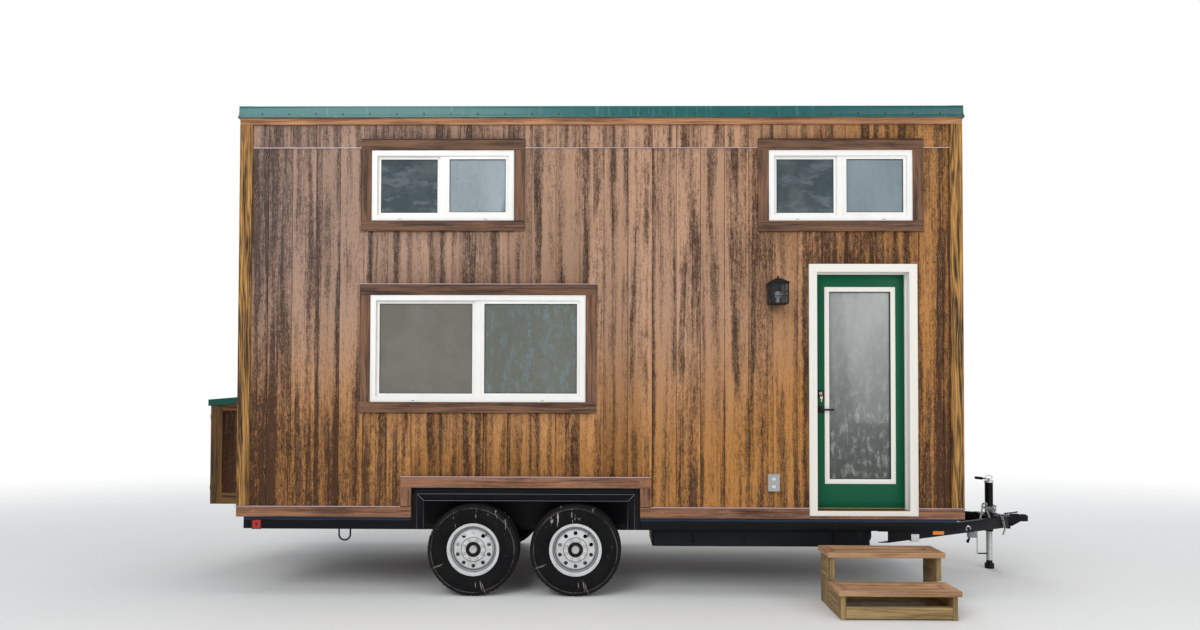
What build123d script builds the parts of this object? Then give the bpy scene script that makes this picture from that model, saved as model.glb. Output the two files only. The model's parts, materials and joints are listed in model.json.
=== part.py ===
from build123d import *
import math
import os

# Tiny house on a tandem-axle trailer, in millimetres, +Z up.
# +X runs towards the hitch, the entrance side faces -Y and the tyres stand on z = 0.

# House shell
siding_length = 6058.0
siding_width = 2540.0
siding_thickness = 14.0
wall_core = 122.0
trim_thickness = 19.0
trim_width = 89.0
corner_width = 105.0
frame_top = 670.0
deck_thickness = 65.0
roof_fall = 230.0
roof_thickness = 130.0

# Roof sheet and its edge flashing
rib_spacing = 228.6
rib_height = 19.0
rib_base = 60.0
rib_crown = 25.0
sheet_thickness = 3.0
flashing_face = 74.0
flashing_lip = 26.0
flashing_lap = 90.0
flashing_thickness = 3.0
flashing_standoff = 6.0
flashing_gap = 0.3

# Trim boards
frieze_height = 73.0
skirt_height = 86.0
cap_projection = 9.0
cap_thickness = 5.0
belt_rise = 19.0

# Windows
slider_width = 1206.0
slider_height = 597.0
picture_width = 1816.0
picture_height = 902.0
bath_width = 445.0
bath_height = 597.0
kitchen_width = 597.0
kitchen_height = 445.0
upper_window_rise = 413.0
upper_window_headroom = 129.0
picture_sill_height = 901.0
bath_sill_height = 991.0
kitchen_sill_height = 1055.0
rear_window_drop = 128.0
upper_left_inset = 1705.0
upper_right_inset = 1001.0
picture_inset = 2007.0
bath_inset = 1359.0
kitchen_inset = 2219.0
frame_face = 46.0
frame_depth = 74.0
frame_proud = 12.0
sash_face = 27.0
sash_depth = 22.0
meeting_width = 52.0
glass_thickness = 4.0
screen_thickness = 1.5

# Entrance door
door_width = 762.0
door_height = 1996.0
door_thickness = 44.0
door_inset = 817.0
door_gap = 5.0
door_floor_gap = 5.0
jamb_thickness = 19.0
casing_width = 66.0
door_stop_depth = 25.0
door_stop_proud = 12.0
sill_height = 40.0
lite_stile = 81.0
lite_top = 111.0
lite_bottom = 210.0
lite_frame = 40.0
lite_proud = 11.0
hinge_pin_radius = 6.0
hinge_height = 100.0
hinge_inset = 180.0
hinge_leaf = 3.0
hinge_leaf_width = 30.0
hinge_clearance = 0.3
knuckle_offset = 9.0
backset = 45.0
lever_height = 838.0
deadbolt_height = 974.0
plate_side = 60.0
plate_thickness = 7.0
lever_reach = 108.0
lever_radius = 8.0
lever_standoff = 38.0

# Trailer frame
main_rail_height = 152.0
main_rail_flange = 51.0
rim_rail_height = 102.0
rim_rail_flange = 45.0
rim_end_inset = 18.0
channel_web = 6.0
crossmember_height = 76.0
crossmember_flange = 38.0
crossmember_count = 9
tongue_height = 102.0
tongue_flange = 50.0
tongue_reach = 921.0
tongue_gap = 62.0
tongue_slope = 30.7

# Coupler and jack
ball_radius = 29.6
coupler_length = 245.0
coupler_wall = 6.0
coupler_keel = 84.0
socket_depth = 52.0
latch_length = 90.0
latch_setback = 40.0
jack_setback = 132.0
jack_tube_radius = 38.0
jack_leg_radius = 29.0
jack_housing_bottom = 361.0
jack_housing_top = 842.0
jack_foot_radius = 44.0
jack_foot_thickness = 48.0
jack_leg_headroom = 360.0
jack_clearance = 0.5
crank_arm = 150.0
crank_rod_radius = 7.0
crank_knob_radius = 14.0
crank_knob_length = 75.0
crank_rest_angle = 60.0

# Running gear
tyre_radius = 388.0
tyre_width = 235.0
tyre_setback = 20.0
tread_crown = 6.0
tread_groove_depth = 8.0
tread_groove = 9.0
tread_pitch = 36.0
tread_groove_count = 4
tyre_crown_thickness = 18.0
shoulder_drop = 24.0
bulge_drop = 84.0
bead_inset = 6.3
bead_clearance = 0.3
axle_spacing = 866.0
axle_middle_x = -630.0
rim_seat_radius = 203.0
rim_flange_radius = 222.0
rim_width = 172.0
rim_wall = 5.0
rim_drop = 22.0
disc_place = -38.0
disc_land_radius = 109.0
hub_bottom = 20.0
nut_reach = 50.0
hub_bore_radius = 61.0
hub_pocket_radius = 64.0
hub_flange_radius = 100.0
hub_body_radius = 70.0
hub_nose_radius = 31.0
hub_nose_bore = 17.0
stud_circle_radius = 82.55
stud_count = 8
stud_radius = 8.0
hand_hole_count = 10
hand_hole_radius = 17.0
hand_hole_circle = 139.0
axle_radius = 38.0
spindle_radius = 22.0
spindle_clearance = 0.5
spring_leaf = 9.0
spring_width = 45.0
spring_length = 660.0
spring_rise = 40.0

# Wheel wells
well_rear_room = 124.0
well_front_room = 155.0
well_headroom = 142.0
well_depth = 296.0
well_sheet = 4.0
well_frame_side = 40.0
well_frame_head = 48.0
well_frame_band = 62.0
well_frame_depth = 42.0
well_frame_lip = 6.0
well_frame_drop = 100.0

# Under-floor tank and small trailer parts
tank_width = 560.0
tank_height = 138.0
tank_setback = 116.0
tank_tongue_gap = 62.5
tank_corner = 30.0
tail_light_side = 68.0
tail_light_inset = 80.0
marker_length = 92.0
marker_height = 33.0
ring_radius = 55.0
ring_drop = 105.0
ring_bar = 7.0
rear_ring_inset = 883.0
front_ring_inset = 797.0
marker_inset = 231.0

# Utility cabinet on the rear end wall
cabinet_reach = 520.0
cabinet_width = 760.0
cabinet_lift = 22.0
cabinet_height = 950.0
cabinet_setback = 600.0
cabinet_stile = 100.0
cabinet_fall = 44.0
cabinet_roof_overhang = 22.0

# Lantern and outdoor receptacle
lantern_gap = 202.0
lantern_drop = 303.0
lantern_height = 176.0
lantern_side = 150.0
lantern_bar = 8.0
lantern_reach = 28.0
lantern_floor = 10.0
lantern_cap = 40.0
lantern_eave = 14.0
lantern_muntin = 5.0
lantern_pane_inset = 1.5
lantern_pane = 3.0
outlet_offset = 22.0
outlet_mount = 163.0
outlet_width = 96.0
outlet_height = 144.0
outlet_depth = 30.0
outlet_socket_width = 36.0
outlet_socket_height = 30.0

# Entry steps, which stand by themselves
step_width = 932.0
step_offset = 78.0
tread_rise = 227.0
tread_depth = 322.0
tread_thickness = 42.0
tread_overhang = 25.0
step_board = 38.0
step_rail_height = 89.0
step_border = 89.0
board_gap = 4.0
tread_recess = 14.0

half_length = siding_length / 2
half_width = siding_width / 2
wall_thickness = siding_thickness + wall_core
deck_top = frame_top + deck_thickness

# Places along the house, from its two ends
upper_left_x = -half_length + upper_left_inset
upper_right_x = half_length - upper_right_inset
picture_x = -half_length + picture_inset
bath_x = -half_length + bath_inset
kitchen_x = -half_length + kitchen_inset
door_x = half_length - door_inset
opening_left = door_x - door_width / 2 - door_gap - jamb_thickness
opening_right = door_x + door_width / 2 + door_gap + jamb_thickness
casing_left = opening_left + jamb_thickness - casing_width
casing_right = opening_right - jamb_thickness + casing_width
lite_width = door_width - 2 * lite_stile
lite_height = door_height - door_floor_gap - lite_bottom - lite_top
lantern_x = casing_left - lantern_gap - lantern_side / 2
outlet_x = lantern_x - outlet_offset
step_x = door_x + step_offset

# Heights, from the deck up
storey_line = deck_top + door_height + door_gap + jamb_thickness
upper_sill = storey_line + upper_window_rise
upper_head = upper_sill + slider_height
rear_upper_sill = upper_sill - rear_window_drop
picture_sill = deck_top + picture_sill_height
bath_sill = deck_top + bath_sill_height
kitchen_sill = deck_top + kitchen_sill_height
outlet_bottom = deck_top + outlet_mount
lantern_bottom = storey_line - lantern_drop
belt_height = upper_head + belt_rise
frieze_low = upper_head + trim_width + upper_window_headroom
frieze_top = frieze_low + frieze_height
roof_front_height = frieze_top + flashing_face - rib_height
roof_slope = roof_fall / siding_width
roof_angle = math.degrees(math.atan(roof_slope))

skirt_top = frame_top + skirt_height
well_left = axle_middle_x - axle_spacing / 2 - tyre_radius - well_rear_room
well_right = axle_middle_x + axle_spacing / 2 + tyre_radius + well_front_room
well_top = 2 * tyre_radius + well_headroom
well_frame_foot = frame_top - well_frame_drop
tongue_front_x = half_length + tongue_reach
tongue_rear_y = half_width - well_depth - channel_web
tongue_lean = math.radians(tongue_slope)
tongue_rear_x = tongue_front_x - (tongue_rear_y - tongue_gap) / math.tan(tongue_lean)
tank_left = well_right + tank_setback
tank_right = tongue_rear_x - tank_tongue_gap
rear_ring_x = -half_length + rear_ring_inset
front_ring_x = half_length - front_ring_inset
marker_x = half_length - marker_inset
cabinet_bottom = frame_top + cabinet_lift


def block(x0, x1, y0, y1, z0, z1):
    """A box between two corners."""
    return Pos((x0 + x1) / 2, (y0 + y1) / 2, (z0 + z1) / 2) * Box(x1 - x0, y1 - y0, z1 - z0)


def ordered(a, b):
    """Two places in rising order."""
    return min(a, b), max(a, b)


def roof_top(y):
    """Height of the roof deck's upper face at y."""
    return roof_front_height - roof_slope * (y + half_width)


def profile_yz(points, x0, x1):
    """An outline in the YZ plane, drawn out from x0 to x1."""
    wire = Polyline(*[(x0, y, z) for y, z in points], close=True)
    return extrude(make_face(wire), amount=x1 - x0, dir=(1, 0, 0))


def profile_xz(points, y0, y1):
    """An outline in the XZ plane, drawn out from y0 to y1."""
    wire = Polyline(*[(x, y0, z) for x, z in points], close=True)
    return extrude(make_face(wire), amount=y1 - y0, dir=(0, 1, 0))


def profile_xy(points, z0, z1):
    """An outline in the XY plane, drawn out from z0 to z1."""
    wire = Polyline(*[(x, y, z0) for x, y in points], close=True)
    return extrude(make_face(wire), amount=z1 - z0, dir=(0, 0, 1))


def rod(x, y, z, radius, length, axis):
    """A round bar that starts at a point and runs along +X, +Y or +Z."""
    turn = {"x": (0, 90, 0), "y": (-90, 0, 0), "z": (0, 0, 0)}[axis]
    base = Cylinder(radius, length, align=(Align.CENTER, Align.CENTER, Align.MIN))
    return Pos(x, y, z) * Rot(*turn) * base


def ring(x0, x1, z0, z1, face, y0, y1):
    """A rectangular frame standing in the XZ plane."""
    outer = block(x0, x1, y0, y1, z0, z1)
    return outer - block(x0 + face, x1 - face, y0, y1, z0 + face, z1 - face)


def mirrored(shape):
    """The same piece on the other long side of the house."""
    return mirror(shape, about=Plane.XZ)


nodes = {}


def add(name, *shapes):
    """Collects the solids of one named piece."""
    solids = [solid for shape in shapes for solid in shape.solids()]
    nodes[name] = Compound(children=solids)


# Openings of each wall: (centre, sill, width, height)
upper_left = (upper_left_x, upper_sill, slider_width, slider_height)
upper_right = (upper_right_x, upper_sill, slider_width, slider_height)
picture = (picture_x, picture_sill, picture_width, picture_height)
bath = (bath_x, bath_sill, bath_width, bath_height)
kitchen = (kitchen_x, kitchen_sill, kitchen_width, kitchen_height)
rear_left = (upper_left_x, rear_upper_sill, slider_width, slider_height)
rear_right = (upper_right_x, rear_upper_sill, slider_width, slider_height)
end_window = (0.0, rear_upper_sill, slider_width, slider_height)
front_windows = [upper_left, upper_right, picture]
back_windows = [rear_left, rear_right, bath, kitchen]


def cut_windows(wall, windows, y0, y1):
    """Cuts window openings through a wall that runs along X."""
    for middle, sill, width, height in windows:
        wall -= block(middle - width / 2, middle + width / 2, y0, y1, sill, sill + height)
    return wall


def long_wall(x0, x1, z0, z1, y0, y1):
    """A stretch of a long wall, its top sloped with the roof where z1 is None."""
    if z1 is not None:
        return block(x0, x1, y0, y1, z0, z1)
    low = roof_top(y0) - roof_thickness
    high = roof_top(y1) - roof_thickness
    return profile_yz([(y0, z0), (y1, z0), (y1, high), (y0, low)], x0, x1)


def build_floor():
    edge = half_length - siding_thickness
    side = half_width - siding_thickness
    deck = block(-edge, edge, -side, side, frame_top, deck_top)
    for sign in (-1, 1):
        inner = sign * (half_width - well_depth)
        outer = sign * side
        deck -= block(well_left, well_right, min(inner, outer), max(inner, outer), frame_top, deck_top)
    add("floor_deck", deck)


def build_walls():
    edge = half_length - siding_thickness
    y0 = -half_width + siding_thickness
    y1 = y0 + wall_core
    well = block(well_left, well_right, y0, y1, deck_top, well_top)
    left = long_wall(-edge, opening_left, deck_top, storey_line, y0, y1) - well
    left = cut_windows(left, [picture], y0, y1)
    right = long_wall(opening_right, edge, deck_top, storey_line, y0, y1)
    upper = long_wall(-edge, edge, storey_line, None, y0, y1)
    upper = cut_windows(upper, [upper_left, upper_right], y0, y1)
    add("front_wall_left", left)
    add("front_wall_right", right)
    add("front_wall_upper", upper)
    back = long_wall(-edge, edge, deck_top, None, -y1, -y0) - mirrored(well)
    add("back_wall", cut_windows(back, back_windows, -y1, -y0))
    ends = [(y1, deck_top), (-y1, deck_top), (-y1, roof_top(-y1) - roof_thickness)]
    ends.append((y1, roof_top(y1) - roof_thickness))
    for name, x0 in (("left_end_wall", -edge), ("right_end_wall", edge - wall_core)):
        wall = profile_yz(ends, x0, x0 + wall_core)
        middle, sill, width, height = end_window
        wall -= block(x0, x0 + wall_core, middle - width / 2, middle + width / 2, sill, sill + height)
        add(name, wall)


def build_siding():
    """One plain backing sheet of boards for each side, cut out as the walls are."""
    y0 = -half_width
    y1 = y0 + siding_thickness
    well = block(well_left, well_right, y0, y1, frame_top, well_top)
    corners = [(y0, frame_top), (y1, frame_top), (y1, roof_top(y1)), (y0, roof_top(y0))]
    front = profile_yz(corners, -half_length, half_length)
    front -= block(opening_left, opening_right, y0, y1, deck_top, storey_line)
    front = cut_windows(front - well, front_windows, y0, y1)
    add("siding_front", front)
    corners = [(-y1, frame_top), (-y0, frame_top), (-y0, roof_top(-y0)), (-y1, roof_top(-y1))]
    back = profile_yz(corners, -half_length, half_length) - mirrored(well)
    add("siding_back", cut_windows(back, back_windows, -y1, -y0))
    ends = [(y1, frame_top), (-y1, frame_top), (-y1, roof_top(-y1)), (y1, roof_top(y1))]
    middle, sill, width, height = end_window
    sheets = []
    for x0 in (-half_length, half_length - siding_thickness):
        sheet = profile_yz(ends, x0, x0 + siding_thickness)
        sheet -= block(x0, x0 + siding_thickness, middle - width / 2, middle + width / 2, sill, sill + height)
        sheets.append(sheet)
    add("siding_ends", *sheets)


def build_roof():
    y0 = -half_width + siding_thickness
    y1 = -y0
    edge = half_length - siding_thickness
    corners = [(y0, roof_top(y0) - roof_thickness), (y1, roof_top(y1) - roof_thickness)]
    corners += [(y1, roof_top(y1)), (y0, roof_top(y0))]
    add("roof_deck", profile_yz(corners, -edge, edge))
    count = int(siding_length // rib_spacing)
    start = -count * rib_spacing / 2
    under = []
    for index in range(count + 1):
        middle = start + index * rib_spacing
        if abs(middle) + rib_base / 2 > half_length:
            continue
        under.append((middle - rib_base / 2, 0))
        under.append((middle - rib_crown / 2, rib_height))
        under.append((middle + rib_crown / 2, rib_height))
        under.append((middle + rib_base / 2, 0))
    under = [(-half_length, 0)] + under + [(half_length, 0)]
    over = [(x, z + sheet_thickness) for x, z in reversed(under)]
    length = siding_width / math.cos(math.radians(roof_angle))
    sheet = profile_xz(under + over, 0, length)
    add("roof_panels", Pos(0, -half_width, roof_front_height) * Rot(-roof_angle, 0, 0) * sheet)


def flashing_profile(face, rise):
    """Bent edge trim in (outward, up) coordinates, its lap rising inward by rise per length."""
    t = flashing_thickness
    lift = rib_height + sheet_thickness + t + flashing_gap
    out = trim_thickness + flashing_standoff
    kick = flashing_lip * 0.45
    drop = lift - face
    low = drop - flashing_lip * 0.9
    far = lift + rise * flashing_lap
    outer = [(-flashing_lap, far), (0, lift), (out, lift), (out, drop), (out + kick, low)]
    inner = [(out + kick - t, low), (out - t, drop), (out - t, lift - t), (0, lift - t)]
    inner.append((-flashing_lap, far - t))
    return outer + inner


def build_flashing():
    reach = trim_thickness + flashing_standoff
    front = [(-half_width - out, roof_front_height + up)
             for out, up in flashing_profile(flashing_face, -roof_slope)]
    eave = roof_top(half_width)
    back = [(half_width + out, eave + up) for out, up in flashing_profile(flashing_face, roof_slope)]
    full = half_length + reach
    pieces = profile_yz(front, -full, full) + profile_yz(back, -full, full)
    shape = flashing_profile(flashing_face, 0)
    rake = Polyline(*[(half_length + out, 0, up) for out, up in shape], close=True)
    run = siding_width + 2 * reach
    start = roof_front_height + roof_slope * reach
    raked = extrude(make_face(rake), amount=run, dir=(0, 1, 0))
    tilt = Pos(0, -half_width - reach, start) * Rot(-roof_angle, 0, 0)
    side = tilt * raked
    pieces = pieces + side + mirror(side, about=Plane.YZ)
    add("roof_flashing", pieces)


def cabinet_sides():
    """Stretches of the rear end wall on each side of the utility cabinet."""
    start = -half_width + cabinet_setback
    return [(-half_width, start), (start + cabinet_width, half_width)]


def build_trim_boards():
    t = trim_thickness
    reach = half_length + t
    front_frieze = block(-reach, reach, -half_width - t, -half_width, frieze_low, frieze_top)
    back_low = frieze_low - roof_fall
    back_top = frieze_top - roof_fall
    back_frieze = block(-reach, reach, half_width, half_width + t, back_low, back_top)
    rake = [(-half_width, frieze_low), (half_width, back_low)]
    rake += [(half_width, back_top), (-half_width, frieze_top)]
    ends = [profile_yz(rake, half_length, half_length + t), profile_yz(rake, -half_length - t, -half_length)]
    add("frieze_boards", front_frieze, back_frieze, *ends)
    corners = []
    for sx in (-1, 1):
        for sy in (-1, 1):
            top = frieze_low if sy < 0 else back_low
            x_out = sx * (half_length + t)
            y_out = sy * (half_width + t)
            outline = [(x_out, y_out), (x_out - sx * corner_width, y_out)]
            outline += [(x_out - sx * corner_width, y_out - sy * t), (x_out - sx * t, y_out - sy * t)]
            outline += [(x_out - sx * t, y_out - sy * corner_width), (x_out, y_out - sy * corner_width)]
            low = skirt_top + cap_thickness
            side_top = top - (corner_width * roof_slope if sy < 0 else 0)
            corners.append(profile_xy(outline, low, side_top))
            if side_top < top:
                arm = (min(x_out, x_out - sx * corner_width), max(x_out, x_out - sx * corner_width))
                corners[-1] += block(*arm, -half_width - t, -half_width, side_top, top)
    add("corner_boards", *corners)
    skirts = []
    for sy in (-1, 1):
        y_pair = ordered(sy * half_width, sy * (half_width + t))
        right_skirt = block(well_right, half_length + t, *y_pair, frame_top, skirt_top)
        left_skirt = block(-half_length - t, well_left, *y_pair, frame_top, skirt_top)
        if sy < 0:
            legs = block(casing_left, casing_right, *y_pair, deck_top - sill_height, skirt_top)
            right_skirt -= legs
        skirts += [left_skirt, right_skirt]
    skirts.append(block(half_length, half_length + t, -half_width, half_width, frame_top, skirt_top))
    for y0, y1 in cabinet_sides():
        skirts.append(block(-half_length - t, -half_length, y0, y1, frame_top, skirt_top))
    add("skirt_boards", *skirts)


def casing_boards(middle, sill, width, height):
    """Flat boards round one window, in its own (x, z) plane from y = 0 outwards."""
    t = trim_thickness
    x0 = middle - width / 2
    x1 = middle + width / 2
    z1 = sill + height
    head = block(x0 - trim_width, x1 + trim_width, -t, 0, z1, z1 + trim_width)
    foot = block(x0 - trim_width, x1 + trim_width, -t, 0, sill - trim_width, sill)
    left = block(x0 - trim_width, x0, -t, 0, sill, z1)
    right = block(x1, x1 + trim_width, -t, 0, sill, z1)
    return [head + foot + left + right]


def window_cap(middle, sill, width, height):
    """Bent drip cap over the head board."""
    t = trim_thickness + cap_projection
    x0 = middle - width / 2 - trim_width
    x1 = middle + width / 2 + trim_width
    z1 = sill + height + trim_width
    return [block(x0, x1, -t, 0, z1, z1 + cap_thickness)]


def window_frame(middle, sill, width, height):
    x0 = middle - width / 2
    x1 = middle + width / 2
    z1 = sill + height
    outer = ring(x0, x1, sill, z1, frame_face, -frame_proud, frame_depth - frame_proud)
    half = meeting_width / 2
    post = block(middle - half, middle + half, 4, 4 + sash_depth, sill + frame_face, z1 - frame_face)
    return [outer + post]


def window_sashes(middle, sill, width, height):
    """Left sash set deep behind the screen, right sash near the outside."""
    z0 = sill + frame_face
    z1 = sill + height - frame_face
    half = meeting_width / 2
    right = ring(middle + half, middle + width / 2 - frame_face, z0, z1, sash_face, 0, sash_depth)
    deep = 4 + sash_depth
    left = ring(middle - width / 2 + frame_face, middle - half, z0, z1, sash_face, deep, deep + sash_depth)
    return [left, right]


def window_panes(middle, sill, width, height):
    z0 = sill + frame_face + sash_face
    z1 = sill + height - frame_face - sash_face
    half = meeting_width / 2
    x2 = middle + half + sash_face
    x3 = middle + width / 2 - frame_face - sash_face
    x0 = middle - width / 2 + frame_face + sash_face
    x1 = middle - half - sash_face
    centre = sash_depth / 2
    right = block(x2, x3, centre, centre + glass_thickness, z0, z1)
    deep = 4 + sash_depth + centre
    left = block(x0, x1, deep, deep + glass_thickness, z0, z1)
    return [left, right]


def window_screen(middle, sill, width, height):
    z0 = sill + frame_face
    z1 = sill + height - frame_face
    x0 = middle - width / 2 + frame_face
    x1 = middle - meeting_width / 2
    y = 4 + sash_depth - screen_thickness
    return [block(x0, x1, y, y + screen_thickness, z0, z1)]


def place_windows(maker):
    """Runs one maker for every window and moves its pieces to their walls."""
    placed = []
    for window in front_windows:
        placed += [Pos(0, -half_width, 0) * piece for piece in maker(*window)]
    for window in back_windows:
        placed += [mirrored(Pos(0, -half_width, 0) * piece) for piece in maker(*window)]
    for turn in (-90, 90):
        placed += [Rot(0, 0, turn) * Pos(0, -half_length, 0) * piece for piece in maker(*end_window)]
    return placed


def build_windows():
    add("window_casings", *place_windows(casing_boards))
    add("window_frames", *place_windows(window_frame))
    add("window_sashes", *place_windows(window_sashes))
    add("window_glass", *place_windows(window_panes))
    add("insect_screens", *place_windows(window_screen))
    caps = place_windows(window_cap)
    t = trim_thickness + cap_projection
    for sy in (-1, 1):
        y_pair = ordered(sy * half_width, sy * (half_width + t))
        stretches = [(-half_length - t, well_left - trim_width)]
        if sy < 0:
            stretches += [(well_right + trim_width, casing_left), (casing_right, half_length + t)]
        else:
            stretches += [(well_right + trim_width, half_length + t)]
        for x0, x1 in stretches:
            caps.append(block(x0, x1, *y_pair, skirt_top, skirt_top + cap_thickness))
        caps.append(block(well_left - trim_width, well_right + trim_width, *y_pair,
                          well_top + trim_width, well_top + trim_width + cap_thickness))
    z_pair = (skirt_top, skirt_top + cap_thickness)
    caps.append(block(half_length, half_length + t, -half_width, half_width, *z_pair))
    for y0, y1 in cabinet_sides():
        caps.append(block(-half_length - t, -half_length, y0, y1, *z_pair))
    edge = half_length - corner_width + trim_thickness
    half = slider_width / 2 + trim_width
    for x0, x1 in ((-edge, upper_left_x - half), (upper_left_x + half, upper_right_x - half),
                   (upper_right_x + half, edge)):
        belt = block(x0, x1, -half_width - cap_projection, -half_width,
                     belt_height, belt_height + cap_thickness)
        caps += [belt, Pos(0, 0, rear_upper_sill - upper_sill) * mirrored(belt)]
    add("trim_flashings", *caps)


def build_well_trim():
    t = trim_thickness
    low = skirt_top + cap_thickness
    head = block(well_left - trim_width, well_right + trim_width, -half_width - t, -half_width,
                 well_top, well_top + trim_width)
    side = block(well_right, well_right + trim_width, -half_width - t, -half_width, low, well_top)
    front = head + side
    left = block(well_left - trim_width, well_left, -half_width - t, -half_width, low, well_top)
    add("wheel_well_trim", front + left, mirrored(front + left))


def build_wheel_wells():
    y0 = -half_width
    y1 = y0 + well_depth
    low = frame_top - rim_rail_height
    shell = block(well_left, well_right, y0, y1, low, well_top)
    inside = block(well_left + well_sheet, well_right - well_sheet, y0, y1 - well_sheet,
                   low, well_top - well_sheet)
    well = shell - inside
    add("wheel_wells", well, mirrored(well))
    left = well_left + well_frame_side
    right = well_right - well_frame_side
    top = well_top - well_frame_head
    band = well_frame_band
    foot = well_frame_foot
    face_y = y0 + 4

    def arch(inset, under):
        return [(left + inset, foot - under), (left + inset, top - inset),
                (right - inset, top - inset), (right - inset, foot - under)]

    body = profile_xz(arch(0, 0), face_y, face_y + well_frame_depth)
    wide = arch(well_frame_lip, 1)
    inner = arch(band, 1)
    near = make_face(Polyline(*[(x, face_y - 1, z) for x, z in wide], close=True))
    far = make_face(Polyline(*[(x, face_y + well_frame_depth + 1, z) for x, z in inner], close=True))
    body -= loft([near, far])
    x0 = well_left + well_sheet
    x1 = well_right - well_sheet
    tabs = block(x0, left, face_y, face_y + 6, foot, top)
    tabs += block(right, x1, face_y, face_y + 6, foot, top)
    tabs += block(x0, x1, face_y + 12, face_y + 18, top, well_top - well_sheet)
    frame = body + tabs
    add("wheel_well_frames", frame, mirrored(frame))


def channel(height, flange, web):
    """A C-section outline, its web on y = 0 and its flanges towards +y, from z = 0 up."""
    return [(0, 0), (flange, 0), (flange, web), (web, web), (web, height - web),
            (flange, height - web), (flange, height), (0, height)]


def tie_down_loop():
    """A U of round bar that hangs from z = 0, as welded under the rim rail."""
    reach = ring_radius - ring_bar
    drop = ring_drop - ring_radius
    bend = ThreePointArc((-reach, 0, -drop), (0, 0, -drop - reach), (reach, 0, -drop))
    path = Wire([Line((-reach, 0, 0), (-reach, 0, -drop)), bend, Line((reach, 0, -drop), (reach, 0, 0))])
    return sweep(Plane.XY * Pos(-reach, 0, 0) * Circle(ring_bar), path=path)


def build_trailer():
    main_low = frame_top - main_rail_height
    outline = channel(main_rail_height, main_rail_flange, channel_web)
    web_y = half_width - well_depth
    end = half_length - siding_thickness - rim_end_inset
    rail_end = end - rim_rail_flange
    near = profile_yz([(-web_y + y, main_low + z) for y, z in outline], -rail_end, rail_end)
    add("main_rails", near, mirrored(near))
    rim_low = frame_top - rim_rail_height
    rim = channel(rim_rail_height, rim_rail_flange, channel_web)
    side = -half_width + siding_thickness
    rails = []
    for x0, x1 in ((-end, well_left), (well_right, end)):
        rail = profile_yz([(side + y, rim_low + z) for y, z in rim], x0, x1)
        rails += [rail, mirrored(rail)]
    across = half_width - siding_thickness - rim_rail_flange
    cap = profile_xz([(end - y, rim_low + z) for y, z in rim], -across, across)
    rails += [cap, mirror(cap, about=Plane.YZ)]
    add("rim_rails", *rails)
    loops = []
    for x in (rear_ring_x, front_ring_x):
        loop = Pos(x, side + rim_rail_flange / 2, rim_low) * tie_down_loop()
        loops += [loop, mirrored(loop)]
    add("tie_down_loops", *loops)
    cross = channel(crossmember_height, crossmember_flange, channel_web)
    cross_low = frame_top - crossmember_height
    inner = web_y - channel_web
    members = []
    for index in range(crossmember_count):
        x = -rail_end + (index + 0.5) * 2 * rail_end / crossmember_count
        bar = profile_xz([(x + y, cross_low + z) for y, z in cross], -inner, inner)
        clear = main_rail_flange - channel_web
        slot = block(x - 1, x + crossmember_flange + 1, -inner, -inner + clear,
                     frame_top - channel_web, frame_top)
        bar = bar - slot - mirrored(slot)
        members.append(bar)
        if x + crossmember_flange < well_left or x > well_right:
            out_y = half_width - siding_thickness - channel_web
            stub = profile_xz([(x + y, cross_low + z) for y, z in cross], -out_y, -web_y)
            cut = block(x - 1, x + crossmember_flange + 1, -out_y, -out_y + rim_rail_flange - channel_web,
                        frame_top - channel_web, frame_top)
            stub -= cut
            members += [stub, mirrored(stub)]
    add("crossmembers", *members)


def tongue_line(offset):
    """Front and rear points of a tongue beam's face that lies offset from its outer face."""
    front_y = tongue_gap + offset / math.cos(tongue_lean)
    rear_x = tongue_front_x - (tongue_rear_y - front_y) / math.tan(tongue_lean)
    return (tongue_front_x, -front_y), (rear_x, -tongue_rear_y)


def build_tongue():
    top = frame_top - main_rail_height
    low = top - tongue_height
    outer_front, outer_rear = tongue_line(tongue_flange)
    inner_front, inner_rear = tongue_line(0)
    solid = profile_xy([outer_front, outer_rear, inner_rear, inner_front], low, top)
    web_front, web_rear = tongue_line(tongue_flange - channel_web)
    hollow = profile_xy([web_front, web_rear, inner_rear, inner_front], low + channel_web, top - channel_web)
    beam = solid - hollow
    add("tongue_beams", beam, mirrored(beam))


def build_coupler():
    top = frame_top - main_rail_height
    x0 = tongue_front_x
    tip = x0 + coupler_length
    ball_x = tip - ball_radius - coupler_wall - 8
    head_r = ball_radius + coupler_wall + 8
    neck = tongue_gap + tongue_flange * 0.6
    outline = [(x0, -neck), (x0, neck), (ball_x - 60, 44), (ball_x, head_r)]
    outline += [(ball_x, -head_r), (ball_x - 60, -44)]
    z1 = top - 4
    z0 = z1 - socket_depth
    body = profile_xy(outline, z0, z1) + rod(ball_x, 0, z0, head_r, z1 - z0, "z")
    body -= rod(ball_x, 0, z0 - 1, ball_radius, socket_depth - 12, "z")
    body = body + rod(ball_x, 0, z1 - 4, ball_radius, 14, "z")
    low = top - tongue_height
    nose = ball_x - head_r
    side = [(x0, low), (x0 + coupler_length * 0.3, low), (nose, z0), (nose, z1), (x0, z1)]
    body = body + profile_xz(side, -coupler_keel / 2, coupler_keel / 2)
    latch_x = ball_x - latch_setback
    latch = block(latch_x - latch_length, latch_x, -14, 14, z1, z1 + 16)
    add("coupler", body + latch)
    return ball_x, z0


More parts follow.
